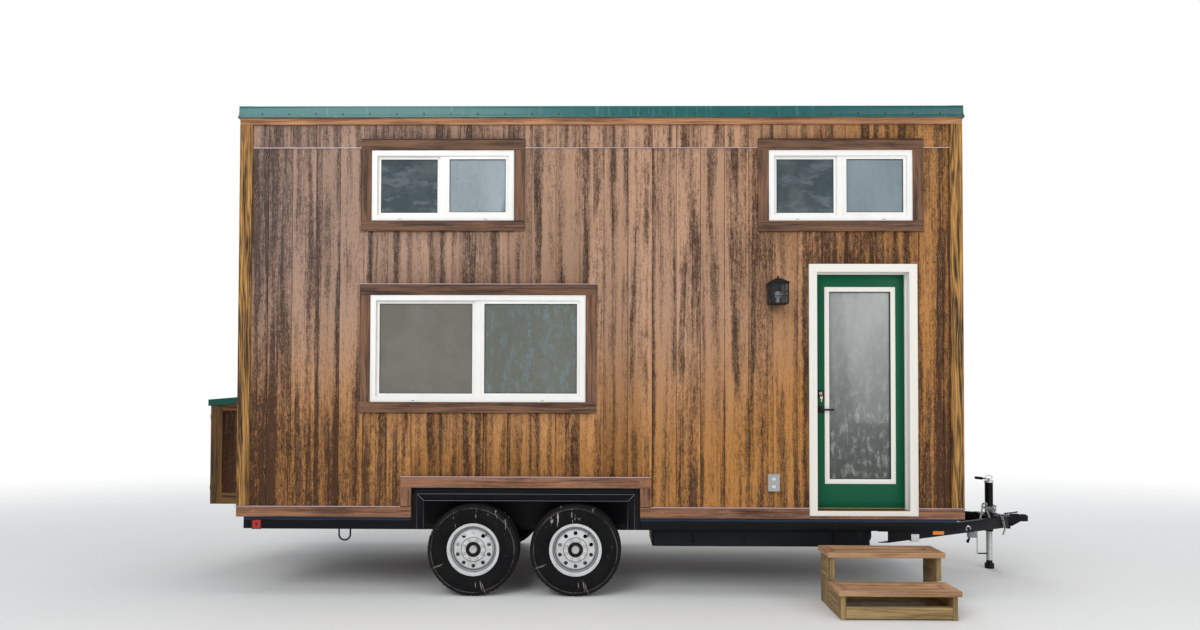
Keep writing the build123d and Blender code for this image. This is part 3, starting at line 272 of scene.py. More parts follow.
class Shader(Nodes):
    """One procedural material with a Principled surface."""

    def __init__(self, name: str, **plain: float) -> None:
        """Makes the material.

        Args:
            name: the finish's name.
            plain: values that are the same all over, by socket name with _ for a space.
        """
        self.material = bpy.data.materials.new(name)
        self.material.use_nodes = True
        super().__init__(self.material.node_tree)
        self.out = self.node("ShaderNodeOutputMaterial")
        self.surface = self.node("ShaderNodeBsdfPrincipled")
        self.feed(self.out.inputs["Surface"], self.surface)
        self.set(**plain)

    def set(self, **sockets: object) -> None:
        """Feeds the surface's sockets, with _ for a space."""
        for key, value in sockets.items():
            self.feed(self.surface.inputs[key.replace("_", " ")], value)

    def place(self) -> NodeSocket:
        """Object coordinates."""
        return self.node("ShaderNodeTexCoord").outputs["Object"]

    def split(self, vector: NodeSocket) -> tuple[Value, Value, Value]:
        """The three parts of a vector."""
        node = self.node("ShaderNodeSeparateXYZ", {"Vector": vector})
        return tuple(Value(self, output) for output in node.outputs)

    def join(self, x: Value | float, y: Value | float, z: Value | float) -> NodeSocket:
        """A vector of three values."""
        return self.node("ShaderNodeCombineXYZ", {"X": x, "Y": y, "Z": z}).outputs[0]

    def noise(self, vector: NodeSocket, scale: float, detail: float = 3.0, rough: float = 0.55) -> Value:
        """Noise from 0 to 1.

        Args:
            vector: where it is read.
            scale: its scale.
            detail: its octaves.
            rough: how strong the fine octaves are.

        Returns:
            The noise value.
        """
        inputs = {"Vector": vector, "Scale": scale, "Detail": detail, "Roughness": rough}
        return Value(self, self.node("ShaderNodeTexNoise", inputs).outputs[0])

    def streaks(self, x: Value | float, y: Value | float, z: Value | float, detail: float = 3.0,
                rough: float = 0.6) -> Value:
        """Noise that is stretched by its own three coordinates."""
        return self.noise(self.join(x, y, z), 1.0, detail, rough)

    def mix(self, factor: Value | float, first: object, second: object,
            blend: str = "MIX") -> NodeSocket:
        """Mixes two colours.

        Args:
            factor: how much of the second.
            first: a colour or a socket.
            second: a colour or a socket.
            blend: the blend type.

        Returns:
            The mixed colour.
        """
        return self.node("ShaderNodeMix", {0: factor, 6: first, 7: second}, data_type="RGBA",
                         blend_type=blend, clamp_factor=True).outputs[2]

    def toned(self, colour: NodeSocket, tone: Value) -> NodeSocket:
        """A colour made lighter or darker by one factor."""
        return self.mix(1.0, colour, self.join(tone, tone, tone), "MULTIPLY")

    def bump(self, height: Value, strength: float, depth: float) -> NodeSocket:
        """A normal bumped by a height, to a depth in metres."""
        return self.node("ShaderNodeBump", {"Strength": strength, "Distance": depth,
                                            "Height": height}).outputs[0]

    def about(self, middle: tuple[float, float]) -> tuple[Value, Value, Value]:
        """Places measured from a wheel's axis.

        Args:
            middle: the axis in X and Z.

        Returns:
            The distance across, the distance up and the radius.
        """
        x, _, z = self.split(self.place())
        dx = x - middle[0]
        dz = z - middle[1]
        return dx, dz, (dx * dx + dz * dz) ** 0.5


# Finishes


@dataclass(frozen=True)
class StainedSiding:
    """Rough-sawn vertical boards: soft bands, flame figure, fine joints, golden at one end."""

    name: str
    run: Run
    start: float
    length: float = 2 * HALF_LENGTH
    golden_end: float = 1.0
    belt: float = 3.786
    new_storey: float = 57.0

    def make(self) -> Material:
        """Builds the material.

        Returns:
            The material.
        """
        s = Shader(self.name, Specular_IOR_Level=0.3)
        x, y, z = s.split(s.place())
        across = x if self.run is Run.X else y
        cell = (across - self.start) / MODULE
        part = cell.fract()
        storey = (z - self.belt).math("GREATER_THAN", 0.0)
        chance = s.node("ShaderNodeTexWhiteNoise", {"W": cell.floor() + storey * self.new_storey},
                        noise_dimensions="1D")
        luck = Value(s, chance.outputs["Value"])
        shift = luck * 37.0
        sway = s.streaks(across * 2.4, shift, z * 0.8) - 0.5
        shiver = s.streaks(across * 14.0, shift, z * 12.0) - 0.5
        side = across + sway * 0.026 + shiver * 0.008
        band = s.streaks(side * 7.5, shift, z * 0.16, 1.5, 0.45)
        strip = s.streaks(side * 24.0, shift, z * 0.5, 2.0, 0.5)
        thread = s.streaks(side * 95.0, shift, z * 3.0)
        grit = s.streaks(across * 120.0, shift, z * 62.0, 3.0, 0.7)
        tooth = s.streaks(across * 330.0, shift, z * 90.0, 3.0, 0.65)
        saw = s.streaks(across * 10.0, shift, z * 230.0, 2.0, 0.5)
        cloud = s.streaks(across * 1.1, 0.3, z * 0.9)
        blot = s.streaks(across * 26.0, shift, z * 13.0, 2.0, 0.5)
        fleck = s.streaks(across * 58.0, shift, z * 20.0, 2.0)
        lane = part * 2.0 + sway * 1.1 + shiver * 0.22 + luck * 0.6 + 4.0
        edge = abs(lane.fract() - 0.5) * 2.0
        vein = s.streaks(lane.math("ROUND") * 5.3 + cell.floor() * 11.0, luck, z * 1.0, 3.0, 0.55)
        strong = vein.ramp(0.44, 0.62)
        seam = edge.ramp(0.62 - vein * 0.6, 0.88) * (strong * 0.88 + 0.12)
        flame = ((z * 17.0 + edge * edge * 3.0 + blot * 3.0 + vein * 6.0) * TURN).sine()
        curl = edge.ramp(0.60, 0.80) * strong * blot.ramp(0.38, 0.56)
        figure = flame.ramp(0.0, 0.5) * curl
        low = 1.0 - z.ramp(1.0, 2.6)
        far = across.ramp(self.along(0.64), self.along(0.98)) * self.golden_end
        near = 1.0 - across.ramp(self.start, self.along(0.38))
        golden = (far * 0.90 + low * 0.95).math("MINIMUM", 1.0)
        pink = (1.0 - across.ramp(self.start, self.along(0.7))) * z.ramp(1.5, 3.2)
        dusk = seam * 0.74 + band.ramp(0.42, 0.60) * 0.44 + strip.ramp(0.46, 0.64) * 0.42 - 0.18
        dusk = (dusk + (thread - 0.5) * 1.15 + (grit - 0.5) * 1.7 + (cloud - 0.42) * 1.2
                + (fleck - 0.5) * 1.3)
        dusk = dusk + far * 0.28 + near * (low * 0.46 + 0.18) + low * 0.14
        light = s.mix(golden, linear(170, 133, 107), linear(172, 118, 60))
        light = s.mix(pink * 0.8, light, linear(143, 119, 107))
        deep = s.mix(golden, linear(64, 41, 29), linear(62, 34, 11))
        deep = s.mix(pink * 0.8, deep, linear(66, 55, 53))
        wood = s.mix(dusk, light, deep)
        wood = s.mix(figure * 0.80, wood, s.mix(golden, linear(46, 31, 24), linear(42, 24, 11)))
        wood = s.mix(curl * flame.ramp(-0.4, -0.8) * 0.45, wood,
                     s.mix(golden, linear(192, 160, 132), linear(200, 152, 96)))
        stain = strip.ramp(0.58, 0.72) * thread.ramp(0.50, 0.64)
        gap = (abs(part - 0.5) * 2.0).ramp(0.975, 0.992)
        wood = s.mix(stain * 0.45, wood, linear(54, 37, 28))
        wood = s.mix(tooth.ramp(0.54, 0.76) * 0.34, wood, linear(56, 38, 28))
        wood = s.mix(tooth.ramp(0.46, 0.26) * 0.24, wood, linear(204, 170, 140))
        wood = s.toned(wood, luck * 0.18 + 1.06)
        wood = s.mix(gap * 0.20, wood, linear(38, 26, 21))
        height = tooth * 0.45 + grit * 0.35 + thread * 0.35 + saw * 0.25 + figure * 0.2
        s.set(Base_Color=wood, Roughness=0.66 + thread * 0.16, Normal=s.bump(height, 0.6, 0.0022))
        return s.material

    def along(self, share: float) -> float:
        """A place at a share of the wall's length."""
        return self.start + self.length * share


@dataclass(frozen=True)
class SawnBoard:
    """A board whose grain follows its own length."""

    name: str
    light: Colour
    dark: Colour
    figure: float = 0.5
    rough: float = 0.6
    wear: float = 0.0

    def make(self) -> Material:
        """Builds the material, which reads the boards' own grain attribute.

        Returns:
            The material.
        """
        s = Shader(self.name, Specular_IOR_Level=0.35)
        grain = s.node("ShaderNodeAttribute", attribute_name="grain")
        along, across, deep = s.split(grain.outputs["Vector"])
        tone = Value(s, s.node("ShaderNodeAttribute", attribute_name="tone").outputs["Fac"])
        wobble = s.streaks(along * 1.4, across * 6.0, deep) - 0.5
        side = across + wobble * 0.02
        arch = s.streaks(along * 0.8, side * 8.0, deep, 2.0, 0.5)
        rings = ((side * 55.0 + arch * 9.0 + along * 0.7) * TURN).sine() * 0.5 + 0.5
        streak = s.streaks(along * 1.2, side * 55.0, deep * 20.0, 4.0, 0.62)
        fine = s.streaks(along * 9.0, side * 380.0, deep * 200.0)
        cloud = s.streaks(along * 2.2, across * 5.0, deep * 4.0)
        bold = s.streaks(along * 1.6, side * 24.0, deep * 9.0)
        shade = (rings * self.figure * 0.40 + streak.ramp(0.38, 0.70) * 0.45
                 + bold.ramp(0.42, 0.60) * 0.40 + (fine - 0.5) * 1.2 + (cloud - 0.5) * 1.1)
        wood = s.toned(s.mix(shade, self.light, self.dark), tone * 0.3 + 1.03)
        if self.wear:
            scuff = s.streaks(along * 14.0, across * 30.0, deep * 9.0, 5.0, 0.7)
            wood = s.mix(scuff.ramp(0.56, 0.7) * self.wear, wood, linear(196, 176, 150))
        height = fine * 0.7 + streak * 0.5 + rings * 0.25
        s.set(Base_Color=wood, Roughness=self.rough + fine * 0.18, Normal=s.bump(height, 0.5, 0.0018))
        return s.material


@dataclass(frozen=True)
class Enamel:
    """Sprayed or powder-coated paint with a faint orange peel and road dust."""

    name: str
    colour: Colour
    rough: float = 0.35
    metallic: float = 0.0
    peel: float = 0.0004
    dust: float = 0.0
    dust_colour: Colour = (0.30, 0.27, 0.24)
    shine: float = 0.5
    stripe: float = 0.0
    stripe_colour: Colour = (0.02, 0.04, 0.08)

    def make(self) -> Material:
        """Builds the material; above the stripe's height it takes the stripe's colour.

        Returns:
            The material.
        """
        s = Shader(self.name, Metallic=self.metallic, Specular_IOR_Level=self.shine)
        place = s.place()
        z = s.split(place)[2]
        peel = s.noise(place, 260.0, 2.0, 0.5)
        cloud = s.noise(place, 3.5, 5.0, 0.65)
        pale = tuple(min(1.0, c * 1.35 + 0.004) for c in self.colour)
        tint = s.mix((cloud - 0.5) * 0.35, self.colour, pale)
        rough = self.rough + (cloud - 0.5) * 0.12
        if self.stripe:
            above = (z + (cloud - 0.5) * 0.02).ramp(self.stripe, self.stripe + 0.012)
            tint = s.mix(above, tint, self.stripe_colour)
        if self.dust:
            speck = s.noise(place, 70.0, 4.0, 0.7)
            low = z.ramp(0.05, 0.9, 1.0, 0.35)
            film = (cloud * 0.6 + speck * 0.5).ramp(0.46, 0.78) * low * self.dust
            tint = s.mix(film, tint, self.dust_colour)
            rough = self.rough + film * 0.4
        s.set(Base_Color=tint, Roughness=rough, Normal=s.bump(peel, 0.5, self.peel))
        return s.material


@dataclass(frozen=True)
class MouldedPlastic:
    """Extruded vinyl or moulded plastic with faint cloudy dirt."""

    name: str
    colour: Colour
    rough: float = 0.42

    def make(self) -> Material:
        """Builds the material.

        Returns:
            The material.
        """
        s = Shader(self.name)
        place = s.place()
        cloud = s.noise(place, 5.0, 4.0, 0.6)
        fine = s.noise(place, 180.0, 2.0, 0.5)
        dull = tuple(c * 0.86 for c in self.colour)
        s.set(Base_Color=s.mix(cloud.ramp(0.45, 0.8) * 0.5, self.colour, dull),
              Roughness=self.rough + (fine - 0.5) * 0.16, Normal=s.bump(fine, 0.3, 0.0003))
        return s.material


@dataclass(frozen=True)
class ZincCoat:
    """Galvanised steel with its spangle."""

    name: str
    colour: Colour
    rough: float = 0.42
    tarnish: float = 0.35
    dipped: float = 0.0

    def make(self) -> Material:
        """Builds the material; below the dipped height it is painted black.

        Returns:
            The material.
        """
        s = Shader(self.name, Specular_IOR_Level=0.3)
        place = s.place()
        cell = s.node("ShaderNodeTexVoronoi", {"Vector": place, "Scale": 70.0}, feature="F1")
        parts = s.node("ShaderNodeSeparateColor", {"Color": cell.outputs["Color"]})
        spangle = Value(s, parts.outputs[0])
        cloud = s.noise(place, 9.0, 4.0, 0.65)
        tint = s.mix(spangle * 0.4, self.colour, tuple(c * 0.72 for c in self.colour))
        tint = s.mix(cloud.ramp(0.5, 0.8) * self.tarnish, tint, (0.20, 0.18, 0.16))
        bare = 1.0
        if self.dipped:
            z = s.split(place)[2]
            bare = (z + (cloud - 0.5) * 0.02).ramp(self.dipped, self.dipped + 0.003)
            tint = s.mix(bare, linear(16, 16, 18), tint)
        s.set(Base_Color=tint, Metallic=bare * 0.75, Roughness=self.rough + spangle * 0.15,
              Normal=s.bump(cloud, 0.3, 0.0005))
        return s.material


@dataclass(frozen=True)
class Glazing:
    """Window glass drawn half opaque, its colour a painted reflection: pale sky tint above the storey, darker
    below, under a faint mottled film.
    """

    name: str
    tint: Colour
    cover: float
    low_reflection_tint: Colour = (0.12, 0.13, 0.12)
    low_reflection_cover: float = 0.3
    storey: float = 0.0
    blend: float = 0.05

    def make(self) -> Material:
        """Builds the material; panes below the storey's height are clearer and take a darker painted
        reflection.

        Returns:
            The material.
        """
        s = Shader(self.name, IOR=1.5, Specular_IOR_Level=0.6)
        x, y, z = s.split(s.place())
        smear = s.noise(s.join(x, y, z * 0.45), 24.0, 5.0, 0.7)
        broad = s.noise(s.join(x, y, z * 0.3), 3.5, 2.0, 0.5)
        # Painted reflection: above the storey the pane takes the pale sky tint, below it the darker low tint,
        # and the mottle streaks the sky tint into the lower panes.
        high = z.ramp(self.storey - self.blend, self.storey + self.blend)
        tint = s.mix(high, self.low_reflection_tint, self.tint)
        tint = s.mix(smear.ramp(0.48, 0.66) * (1.0 - high * 0.8) * 0.7, tint, self.tint)
        cover = self.low_reflection_cover + high * (self.cover - self.low_reflection_cover)
        # The alpha is how much of the painted reflection covers what lies behind the glass.
        s.set(Base_Color=tint, Roughness=0.03 + smear * 0.03,
              Alpha=cover + (smear - 0.5) * 0.3 + (broad - 0.5) * 0.5)
        return s.material


@dataclass(frozen=True)
class InsectMesh:
    """Dark woven insect screen, too fine to model thread by thread."""

    name: str
    colour: Colour
    cover: float
    low_colour: Colour = linear(118, 116, 106)
    storey: float = 2.9
    pitch: float = 0.0032

    def make(self) -> Material:
        """Builds the material.

        Returns:
            The material.
        """
        s = Shader(self.name, Roughness=0.8)
        place = s.place()
        x, y, z = s.split(place)
        turn = TURN / self.pitch
        weave = ((x + y) * turn).sine() * (z * turn).sine()
        cloud = s.noise(place, 4.0, 4.0, 0.6)
        high = z.ramp(self.storey - 0.05, self.storey + 0.05)
        drape = s.streaks(x * 7.0, y * 7.0, z * 16.0)
        base = s.mix(high, self.low_colour, self.colour)
        dirt = s.mix(cloud.ramp(0.4, 0.75) * 0.6, base, s.mix(0.35, base, linear(150, 154, 150)))
        dirt = s.mix(drape.ramp(0.48, 0.66) * high * 0.5, dirt, linear(118, 128, 132))
        s.set(Base_Color=dirt, Alpha=self.cover + weave * 0.12 + (cloud - 0.5) * 0.12,
              Normal=s.bump(weave, 0.4, 0.0006))
        return s.material


@dataclass(frozen=True)
class RoadRubber:
    """Tyre rubber with a dusty sidewall, worn tread and pale dried streaks."""

    name: str
    middle: tuple[float, float]
    shoulder: float = 0.352

    def make(self) -> Material:
        """Builds the material.

        Returns:
            The material.
        """
        s = Shader(self.name, Specular_IOR_Level=0.12)
        place = s.place()
        x, y, z = s.split(place)
        dx, dz, radius = s.about(self.middle)
        angle = dz.math("ARCTAN2", dx)
        cloud = s.noise(place, 7.0, 5.0, 0.65)
        fine = s.noise(place, 160.0, 3.0, 0.6)
        base = s.mix(cloud.ramp(0.35, 0.75) * 0.6, linear(14, 14, 16), linear(32, 31, 31))
        tread = radius.ramp(self.shoulder, self.shoulder + 0.020)
        base = s.mix(tread * 0.4, base, linear(46, 44, 43))
        scrub = abs(radius - self.shoulder).ramp(0.006, 0.001) * cloud.ramp(0.3, 0.6)
        base = s.mix(scrub * 0.5, base, linear(120, 116, 110))
        drip = s.streaks(angle * 9.0, radius * 2.0, y * 3.0, 4.0, 0.7)
        patch = s.streaks(angle * 1.6, radius * 3.0, y * 2.0, 2.0, 0.5)
        pale = drip.ramp(0.62, 0.67) * patch.ramp(0.50, 0.64) * radius.ramp(0.25, 0.32)
        ropy = s.streaks(x * 34.0, y * 6.0, z * 5.0, 4.0, 0.7)
        run = ropy.ramp(0.63, 0.66) * patch.ramp(0.40, 0.56) * z.ramp(0.36, 0.60)
        base = s.mix(pale.most(run) * 0.8, base, linear(196, 192, 184))
        relief = fine * 0.6 + (radius * 520.0).sine() * 0.25 * (1.0 - tread)
        s.set(Base_Color=base, Roughness=0.62 + cloud * 0.22, Normal=s.bump(relief, 0.4, 0.0009))
        return s.material


@dataclass(frozen=True)
class WheelPaint:
    """White wheel enamel with painted shade in its folds and behind the disc, a rusty bore darkened with
    painted shade, and a bare nose.
    """

    name: str
    middle: tuple[float, float]
    bore: float = 0.0635
    nose: float = 0.0325
    hub_fold: float = 0.102
    folds: tuple[float, ...] = (0.178, 0.190)
    disc: float = 1.165

    def make(self) -> Material:
        """Builds the material.

        Returns:
            The material.
        """
        s = Shader(self.name, Specular_IOR_Level=0.3)
        place = s.place()
        y = s.split(place)[1]
        radius = s.about(self.middle)[2]
        # Painted shade: darker where the surface lies deeper than the disc, inside the barrel behind the hand
        # holes.
        inside = abs(y - MIDDLE_Y).ramp(self.disc, self.disc - 0.006)
        cloud = s.noise(place, 14.0, 5.0, 0.65)
        speck = s.noise(place, 90.0, 4.0, 0.7)
        # Painted shade: dark rings at the hub's edge and at the barrel's steps, where the folds shade each
        # other.
        fold_shade = abs(radius - self.hub_fold).ramp(0.005, 0.001)
        for ring in self.folds:
            fold_shade = fold_shade.most(abs(radius - ring).ramp(0.007, 0.002))
        dirt = (cloud * 0.7 + speck * 0.4).ramp(0.44, 0.74)
        chip = speck.ramp(0.68, 0.74) * cloud.ramp(0.5, 0.62)
        bare = radius.ramp(self.nose, self.nose - 0.001)
        tint = s.mix(dirt * 0.30, linear(212, 213, 213), linear(126, 120, 112))
        # Painted shade behind the disc and in the folds; the bore's rust brown is darkened to the shade of
        # the hub pocket; chips and the bare nose are the wheel's own colours.
        for cover, colour in ((fold_shade * 0.85, (34, 33, 33)), (inside, (26, 24, 22)),
                              (chip * 0.8, (96, 58, 38)),
                              (radius.ramp(self.bore + 0.003, self.bore), (30, 23, 12)),
                              (bare, (196, 198, 200))):
            tint = s.mix(cover, tint, linear(*colour))
        s.set(Base_Color=tint, Roughness=0.34 + dirt * 0.3, Metallic=bare * 0.7,
              Normal=s.bump(speck, 0.25, 0.0006))
        return s.material


@dataclass(frozen=True)
class RoofPaint:
    """Teal sheet-metal enamel, paler towards its left end as a painted sheen, with rain runs and patches that
    are paler and rougher.
    """

    name: str
    start: float
    length: float

    def make(self) -> Material:
        """Builds the material.

        Returns:
            The material.
        """
        s = Shader(self.name, Coat_Weight=0.2, Coat_Roughness=0.15)
        place = s.place()
        x, y, z = s.split(place)
        cloud = s.streaks(x * 1.6, y * 1.6, z * 4.0, 4.0)
        run = s.streaks(x * 38.0, y * 38.0, z * 2.5)
        speck = s.noise(place, 130.0, 3.0, 0.6)
        # Painted sheen: the paint is mixed towards the paler teal at its left end, fading out along the roof;
        # cloudy patches add to and take from it and make the paint rougher.
        far = (x - self.start).ramp(0.1 * self.length, 0.75 * self.length)
        dull = (1.0 - far) * 0.55 + (cloud - 0.5) * 0.5
        tint = s.mix(dull, linear(0, 84, 84), linear(18, 110, 108))
        tint = s.mix(run.ramp(0.56, 0.72) * 0.30, tint, linear(120, 150, 142))
        tint = s.mix(speck.ramp(0.62, 0.75) * 0.25, tint, linear(10, 50, 46))
        s.set(Base_Color=tint, Roughness=0.30 + dull * 0.2, Normal=s.bump(cloud, 0.25, 0.004))
        return s.material


# Mesh helpers


def placed(name: str, data: ID, smooth: float = 0.0) -> Object:
    """Puts a new object into the scene, at the origin.

    Args:
        name: its name.
        data: its mesh, lamp or camera.
        smooth: edges of a mesh under this angle, in radians, shade smooth; 0 leaves it flat.

    Returns:
        The object.
    """
    if smooth:
        data.shade_smooth()
        data.set_sharp_from_angle(angle=smooth)
    made = bpy.data.objects.new(name, data)
    bpy.context.scene.collection.objects.link(made)
    return made


def discard(*templates: Object) -> None:
    """Removes template objects after they have been used."""
    for template in templates:
        bpy.data.objects.remove(template)


def plain_mesh(made: Object) -> Mesh:
    """The plain mesh that an object's modifiers give.

    Args:
        made: the object.

    Returns:
        The mesh.
    """
    bpy.context.view_layer.update()
    graph = bpy.context.evaluated_depsgraph_get()
    return bpy.data.meshes.new_from_object(made.evaluated_get(graph))


def soften(mesh: BMesh, edges: Iterable[BMEdge], width: float, steps: int, limit: float) -> None:
    """Eases the sharp ones among some edges.

    Args:
        mesh: the mesh.
        edges: the edges.
        width: the width taken off.
        steps: facets across each edge.
        limit: the angle in radians past which an edge is sharp.
    """
    sharp = [e for e in edges if len(e.link_faces) == 2 and e.calc_face_angle(0.0) > limit]
    if width > 0 and sharp:
        bmesh.ops.bevel(mesh, geom=sharp, offset=width, segments=steps, affect="EDGES", profile=0.5,
                        clamp_overlap=True)


class Form:
    """Collects closed bodies into one mesh, with grain and tone attributes for boards."""

    def __init__(self, name: str, seed: int = 1) -> None:
        """Starts an empty form.

        Args:
            name: the finished object's name.
            seed: the seed of the boards' grain.
        """
        self.name = name
        self.mesh = bmesh.new()
        self.grain = self.mesh.verts.layers.float_vector.new("grain")
        self.tone = self.mesh.verts.layers.float.new("tone")
        self.luck = random.Random(seed)

    def box(self, low: Sequence[float], high: Sequence[float], chamfer: float = 0.0015,
            run: Run = Run.Z, steps: int = 1) -> None:
        """Adds a block with eased edges.

        Args:
            low: one corner.
            high: the opposite corner.
            chamfer: how far the edges are eased.
            run: the axis that the grain follows.
            steps: facets across each eased edge.
        """
        a = [min(p, q) for p, q in zip(low, high)]
        b = [max(p, q) for p, q in zip(low, high)]
        made = bmesh.ops.create_cube(self.mesh, size=1.0)["verts"]
        for v in made:
            v.co = Vector([a[i] + (v.co[i] + 0.5) * (b[i] - a[i]) for i in range(3)])
        self.ease(made, chamfer, run, steps)

    def ease(self, verts: Verts, chamfer: float, run: Run, steps: int = 1) -> None:
        """Eases the sharp edges of one body and writes its grain.

        Args:
            verts: the body's vertices.
            chamfer: the width taken off.
            run: the axis that the grain follows.
            steps: facets across each edge.
        """
        if chamfer > 0:
            before = set(self.mesh.verts) - set(verts)
            soften(self.mesh, dict.fromkeys(e for v in verts for e in v.link_edges), chamfer, steps, 0.5)
            verts = [v for v in self.mesh.verts if v not in before]
        self.write_grain(verts, run)

    def write_grain(self, verts: Iterable[BMVert], run: Run) -> None:
        """Gives one body its own piece of timber.

        Args:
            verts: the body's vertices.
            run: the axis that the grain follows.
        """
        start = Vector([self.luck.uniform(0, 40) for _ in range(3)])
        shade = self.luck.random()
        along, across, up = {Run.X: (0, 2, 1), Run.Y: (1, 0, 2), Run.Z: (2, 0, 1)}[run]
        for v in verts:
            v[self.grain] = Vector((v.co[along], v.co[across] + v.co[up], v.co[up])) + start
            v[self.tone] = shade

    def close(self, rows: Sequence[Verts], faces: list[BMFace]) -> Verts:
        """Turns a body's faces outwards and writes its grain.

        Args:
            rows: its rows of vertices.
            faces: its faces.

        Returns:
            The body's vertices.
        """
        bmesh.ops.recalc_face_normals(self.mesh, faces=faces)
        verts = [v for row in rows for v in row]
        self.write_grain(verts, Run.Z)
        return verts

    def prism(self, outline: Sequence[Sequence[float]], axis: Run, low: float, high: float,
              chamfer: float = 0.0, run: Run | None = None) -> None:
        """Adds an outline drawn out along an axis.

        Args:
            outline: points in the plane of the two other axes, in X, Y, Z order.
            axis: the axis it is drawn along.
            low: where it starts.
            high: where it ends.
            chamfer: how far the edges are eased.
            run: the axis that the grain follows.
        """
        rings = []
        for level in (low, high):
            corners = [[*point[:axis.value], level, *point[axis.value:]] for point in outline]
            rings.append([self.mesh.verts.new(corner) for corner in corners])
        faces = [self.mesh.faces.new(ring) for ring in rings]
        for i, j in neighbours(len(outline)):
            faces.append(self.mesh.faces.new((rings[0][i], rings[0][j], rings[1][j], rings[1][i])))
        bmesh.ops.recalc_face_normals(self.mesh, faces=faces)
        self.ease(rings[0] + rings[1], chamfer, run or axis)

    def turned(self, profile: Sequence[tuple[float, float]], centre: Point, axis: Run,
               steps: int = 48) -> Verts:
        """Adds a closed body of revolution.

        Args:
            profile: (along the axis, radius) points; a radius of 0 closes a pole.
            centre: the axis's origin.
            axis: the axis of revolution.
            steps: points round.

        Returns:
            The body's vertices.
        """
        first, second = [i for i in range(3) if i != axis.value]
        rows = []
        for along, radius in profile:
            row = []
            for angle in around(steps)[:1 if radius <= 1e-9 else steps]:
                co = list(centre)
                co[axis.value] += along
                co[first] += radius * math.cos(angle)
                co[second] += radius * math.sin(angle)
                row.append(self.mesh.verts.new(co))
            rows.append(row)
        faces = []
        closed = rows if len(rows[0]) == 1 else rows + [rows[0]]
        for a, b in zip(closed, closed[1:]):
            for k, j in neighbours(steps):
                ring = list(dict.fromkeys([a[k % len(a)], a[j % len(a)], b[j % len(b)], b[k % len(b)]]))
                if len(ring) > 2:
                    faces.append(self.mesh.faces.new(ring))
        return self.close(rows, faces)

    def disc(self, start: float, end: float, radius: float, centre: Point, steps: int = 20) -> None:
        """Adds a short round bar along Y."""
        self.turned([(start, 0), (start, radius), (end, radius), (end, 0)], centre, Run.Y, steps)

    def tube(self, path: Sequence[Sequence[float]], radius: float, steps: int = 12,
             closed: bool = False) -> None:
        """Adds a round bar along a path.

        Args:
            path: its middle line.
            radius: its radius.
            steps: points round.
            closed: whether the path joins up.
        """
        points = [Vector(p) for p in path]
        count = len(points)
        normal = None
        rows = []
        for i, p in enumerate(points):
            before = points[(i - 1) % count] if closed or i > 0 else p
            after = points[(i + 1) % count] if closed or i < count - 1 else p
            tangent = (after - before).normalized()
            if normal is None:
                normal = tangent.orthogonal().normalized()
            normal = (normal - tangent * normal.dot(tangent)).normalized()
            side = tangent.cross(normal)
            rows.append([self.mesh.verts.new(p + radius * (math.cos(a) * normal + math.sin(a) * side))
                         for a in around(steps)])
        faces = []
        for a, b in list(zip(rows, rows[1:])) + ([(rows[-1], rows[0])] if closed else []):
            faces += [self.mesh.faces.new((a[k], a[j], b[j], b[k])) for k, j in neighbours(steps)]
        if not closed:
            faces += [self.mesh.faces.new(rows[0]), self.mesh.faces.new(rows[-1])]
        self.close(rows, faces)

    def ring(self, low: tuple[float, float], high: tuple[float, float], width: float,
             deep: tuple[float, float], across: Run = Run.X, chamfer: float = 0.0006) -> None:
        """Adds four bars just inside a rectangle's edge.

        Args:
            low: its lower corner, across and up.
            high: its upper corner.
            width: how wide the bars are.
            deep: where they start and end through the wall.
            across: the axis that runs across the rectangle.
            chamfer: how far the edges are eased.
        """
        (a0, z0), (a1, z1) = low, high
        bars = [(a0, a1, z0, z0 + width), (a0, a1, z1 - width, z1),
                (a0, a0 + width, z0 + width, z1 - width), (a1 - width, a1, z0 + width, z1 - width)]
        for p, q, bottom, top in bars:
            self.box(on_wall(across, p, deep[0], bottom), on_wall(across, q, deep[1], top), chamfer,
                     across if q - p > top - bottom else Run.Z)

    def done(self, smooth: float = SHARP) -> Object:
        """Turns the form into an object at the origin.

        Args:
            smooth: edges under this angle, in radians, shade smooth.

        Returns:
            The object.
        """
        data = bpy.data.meshes.new(self.name)
        self.mesh.to_mesh(data)
        self.mesh.free()
        return placed(self.name, data, smooth)


def merged(data: Mesh) -> BMesh:
    """A mesh for work, with the doubles of its loose triangles merged.

    Args:
        data: the mesh it is read from.

    Returns:
        The mesh for work.
    """
    work = bmesh.new()
    work.from_mesh(data)
    bmesh.ops.remove_doubles(work, verts=work.verts, dist=1e-6)
    return work


def solids(node: str) -> list[tuple[Vector, Vector]]:
    """Measures each separate solid of a node.

    Args:
        node: the node.

    Returns:
        The lowest and the highest corner of each.
    """
    work = merged(frame["nodes"][node].data)
    seen = set()
    boxes = []
    for first in work.verts:
        if first in seen:
            continue
        seen.add(first)
        group = [first]
        for vert in group:
            for other in (edge.other_vert(vert) for edge in vert.link_edges):
                if other not in seen:
                    seen.add(other)
                    group.append(other)
        boxes.append(tuple(Vector([pick(v.co[i] for v in group) for i in range(3)])
                           for pick in (min, max)))
    work.free()
    return boxes


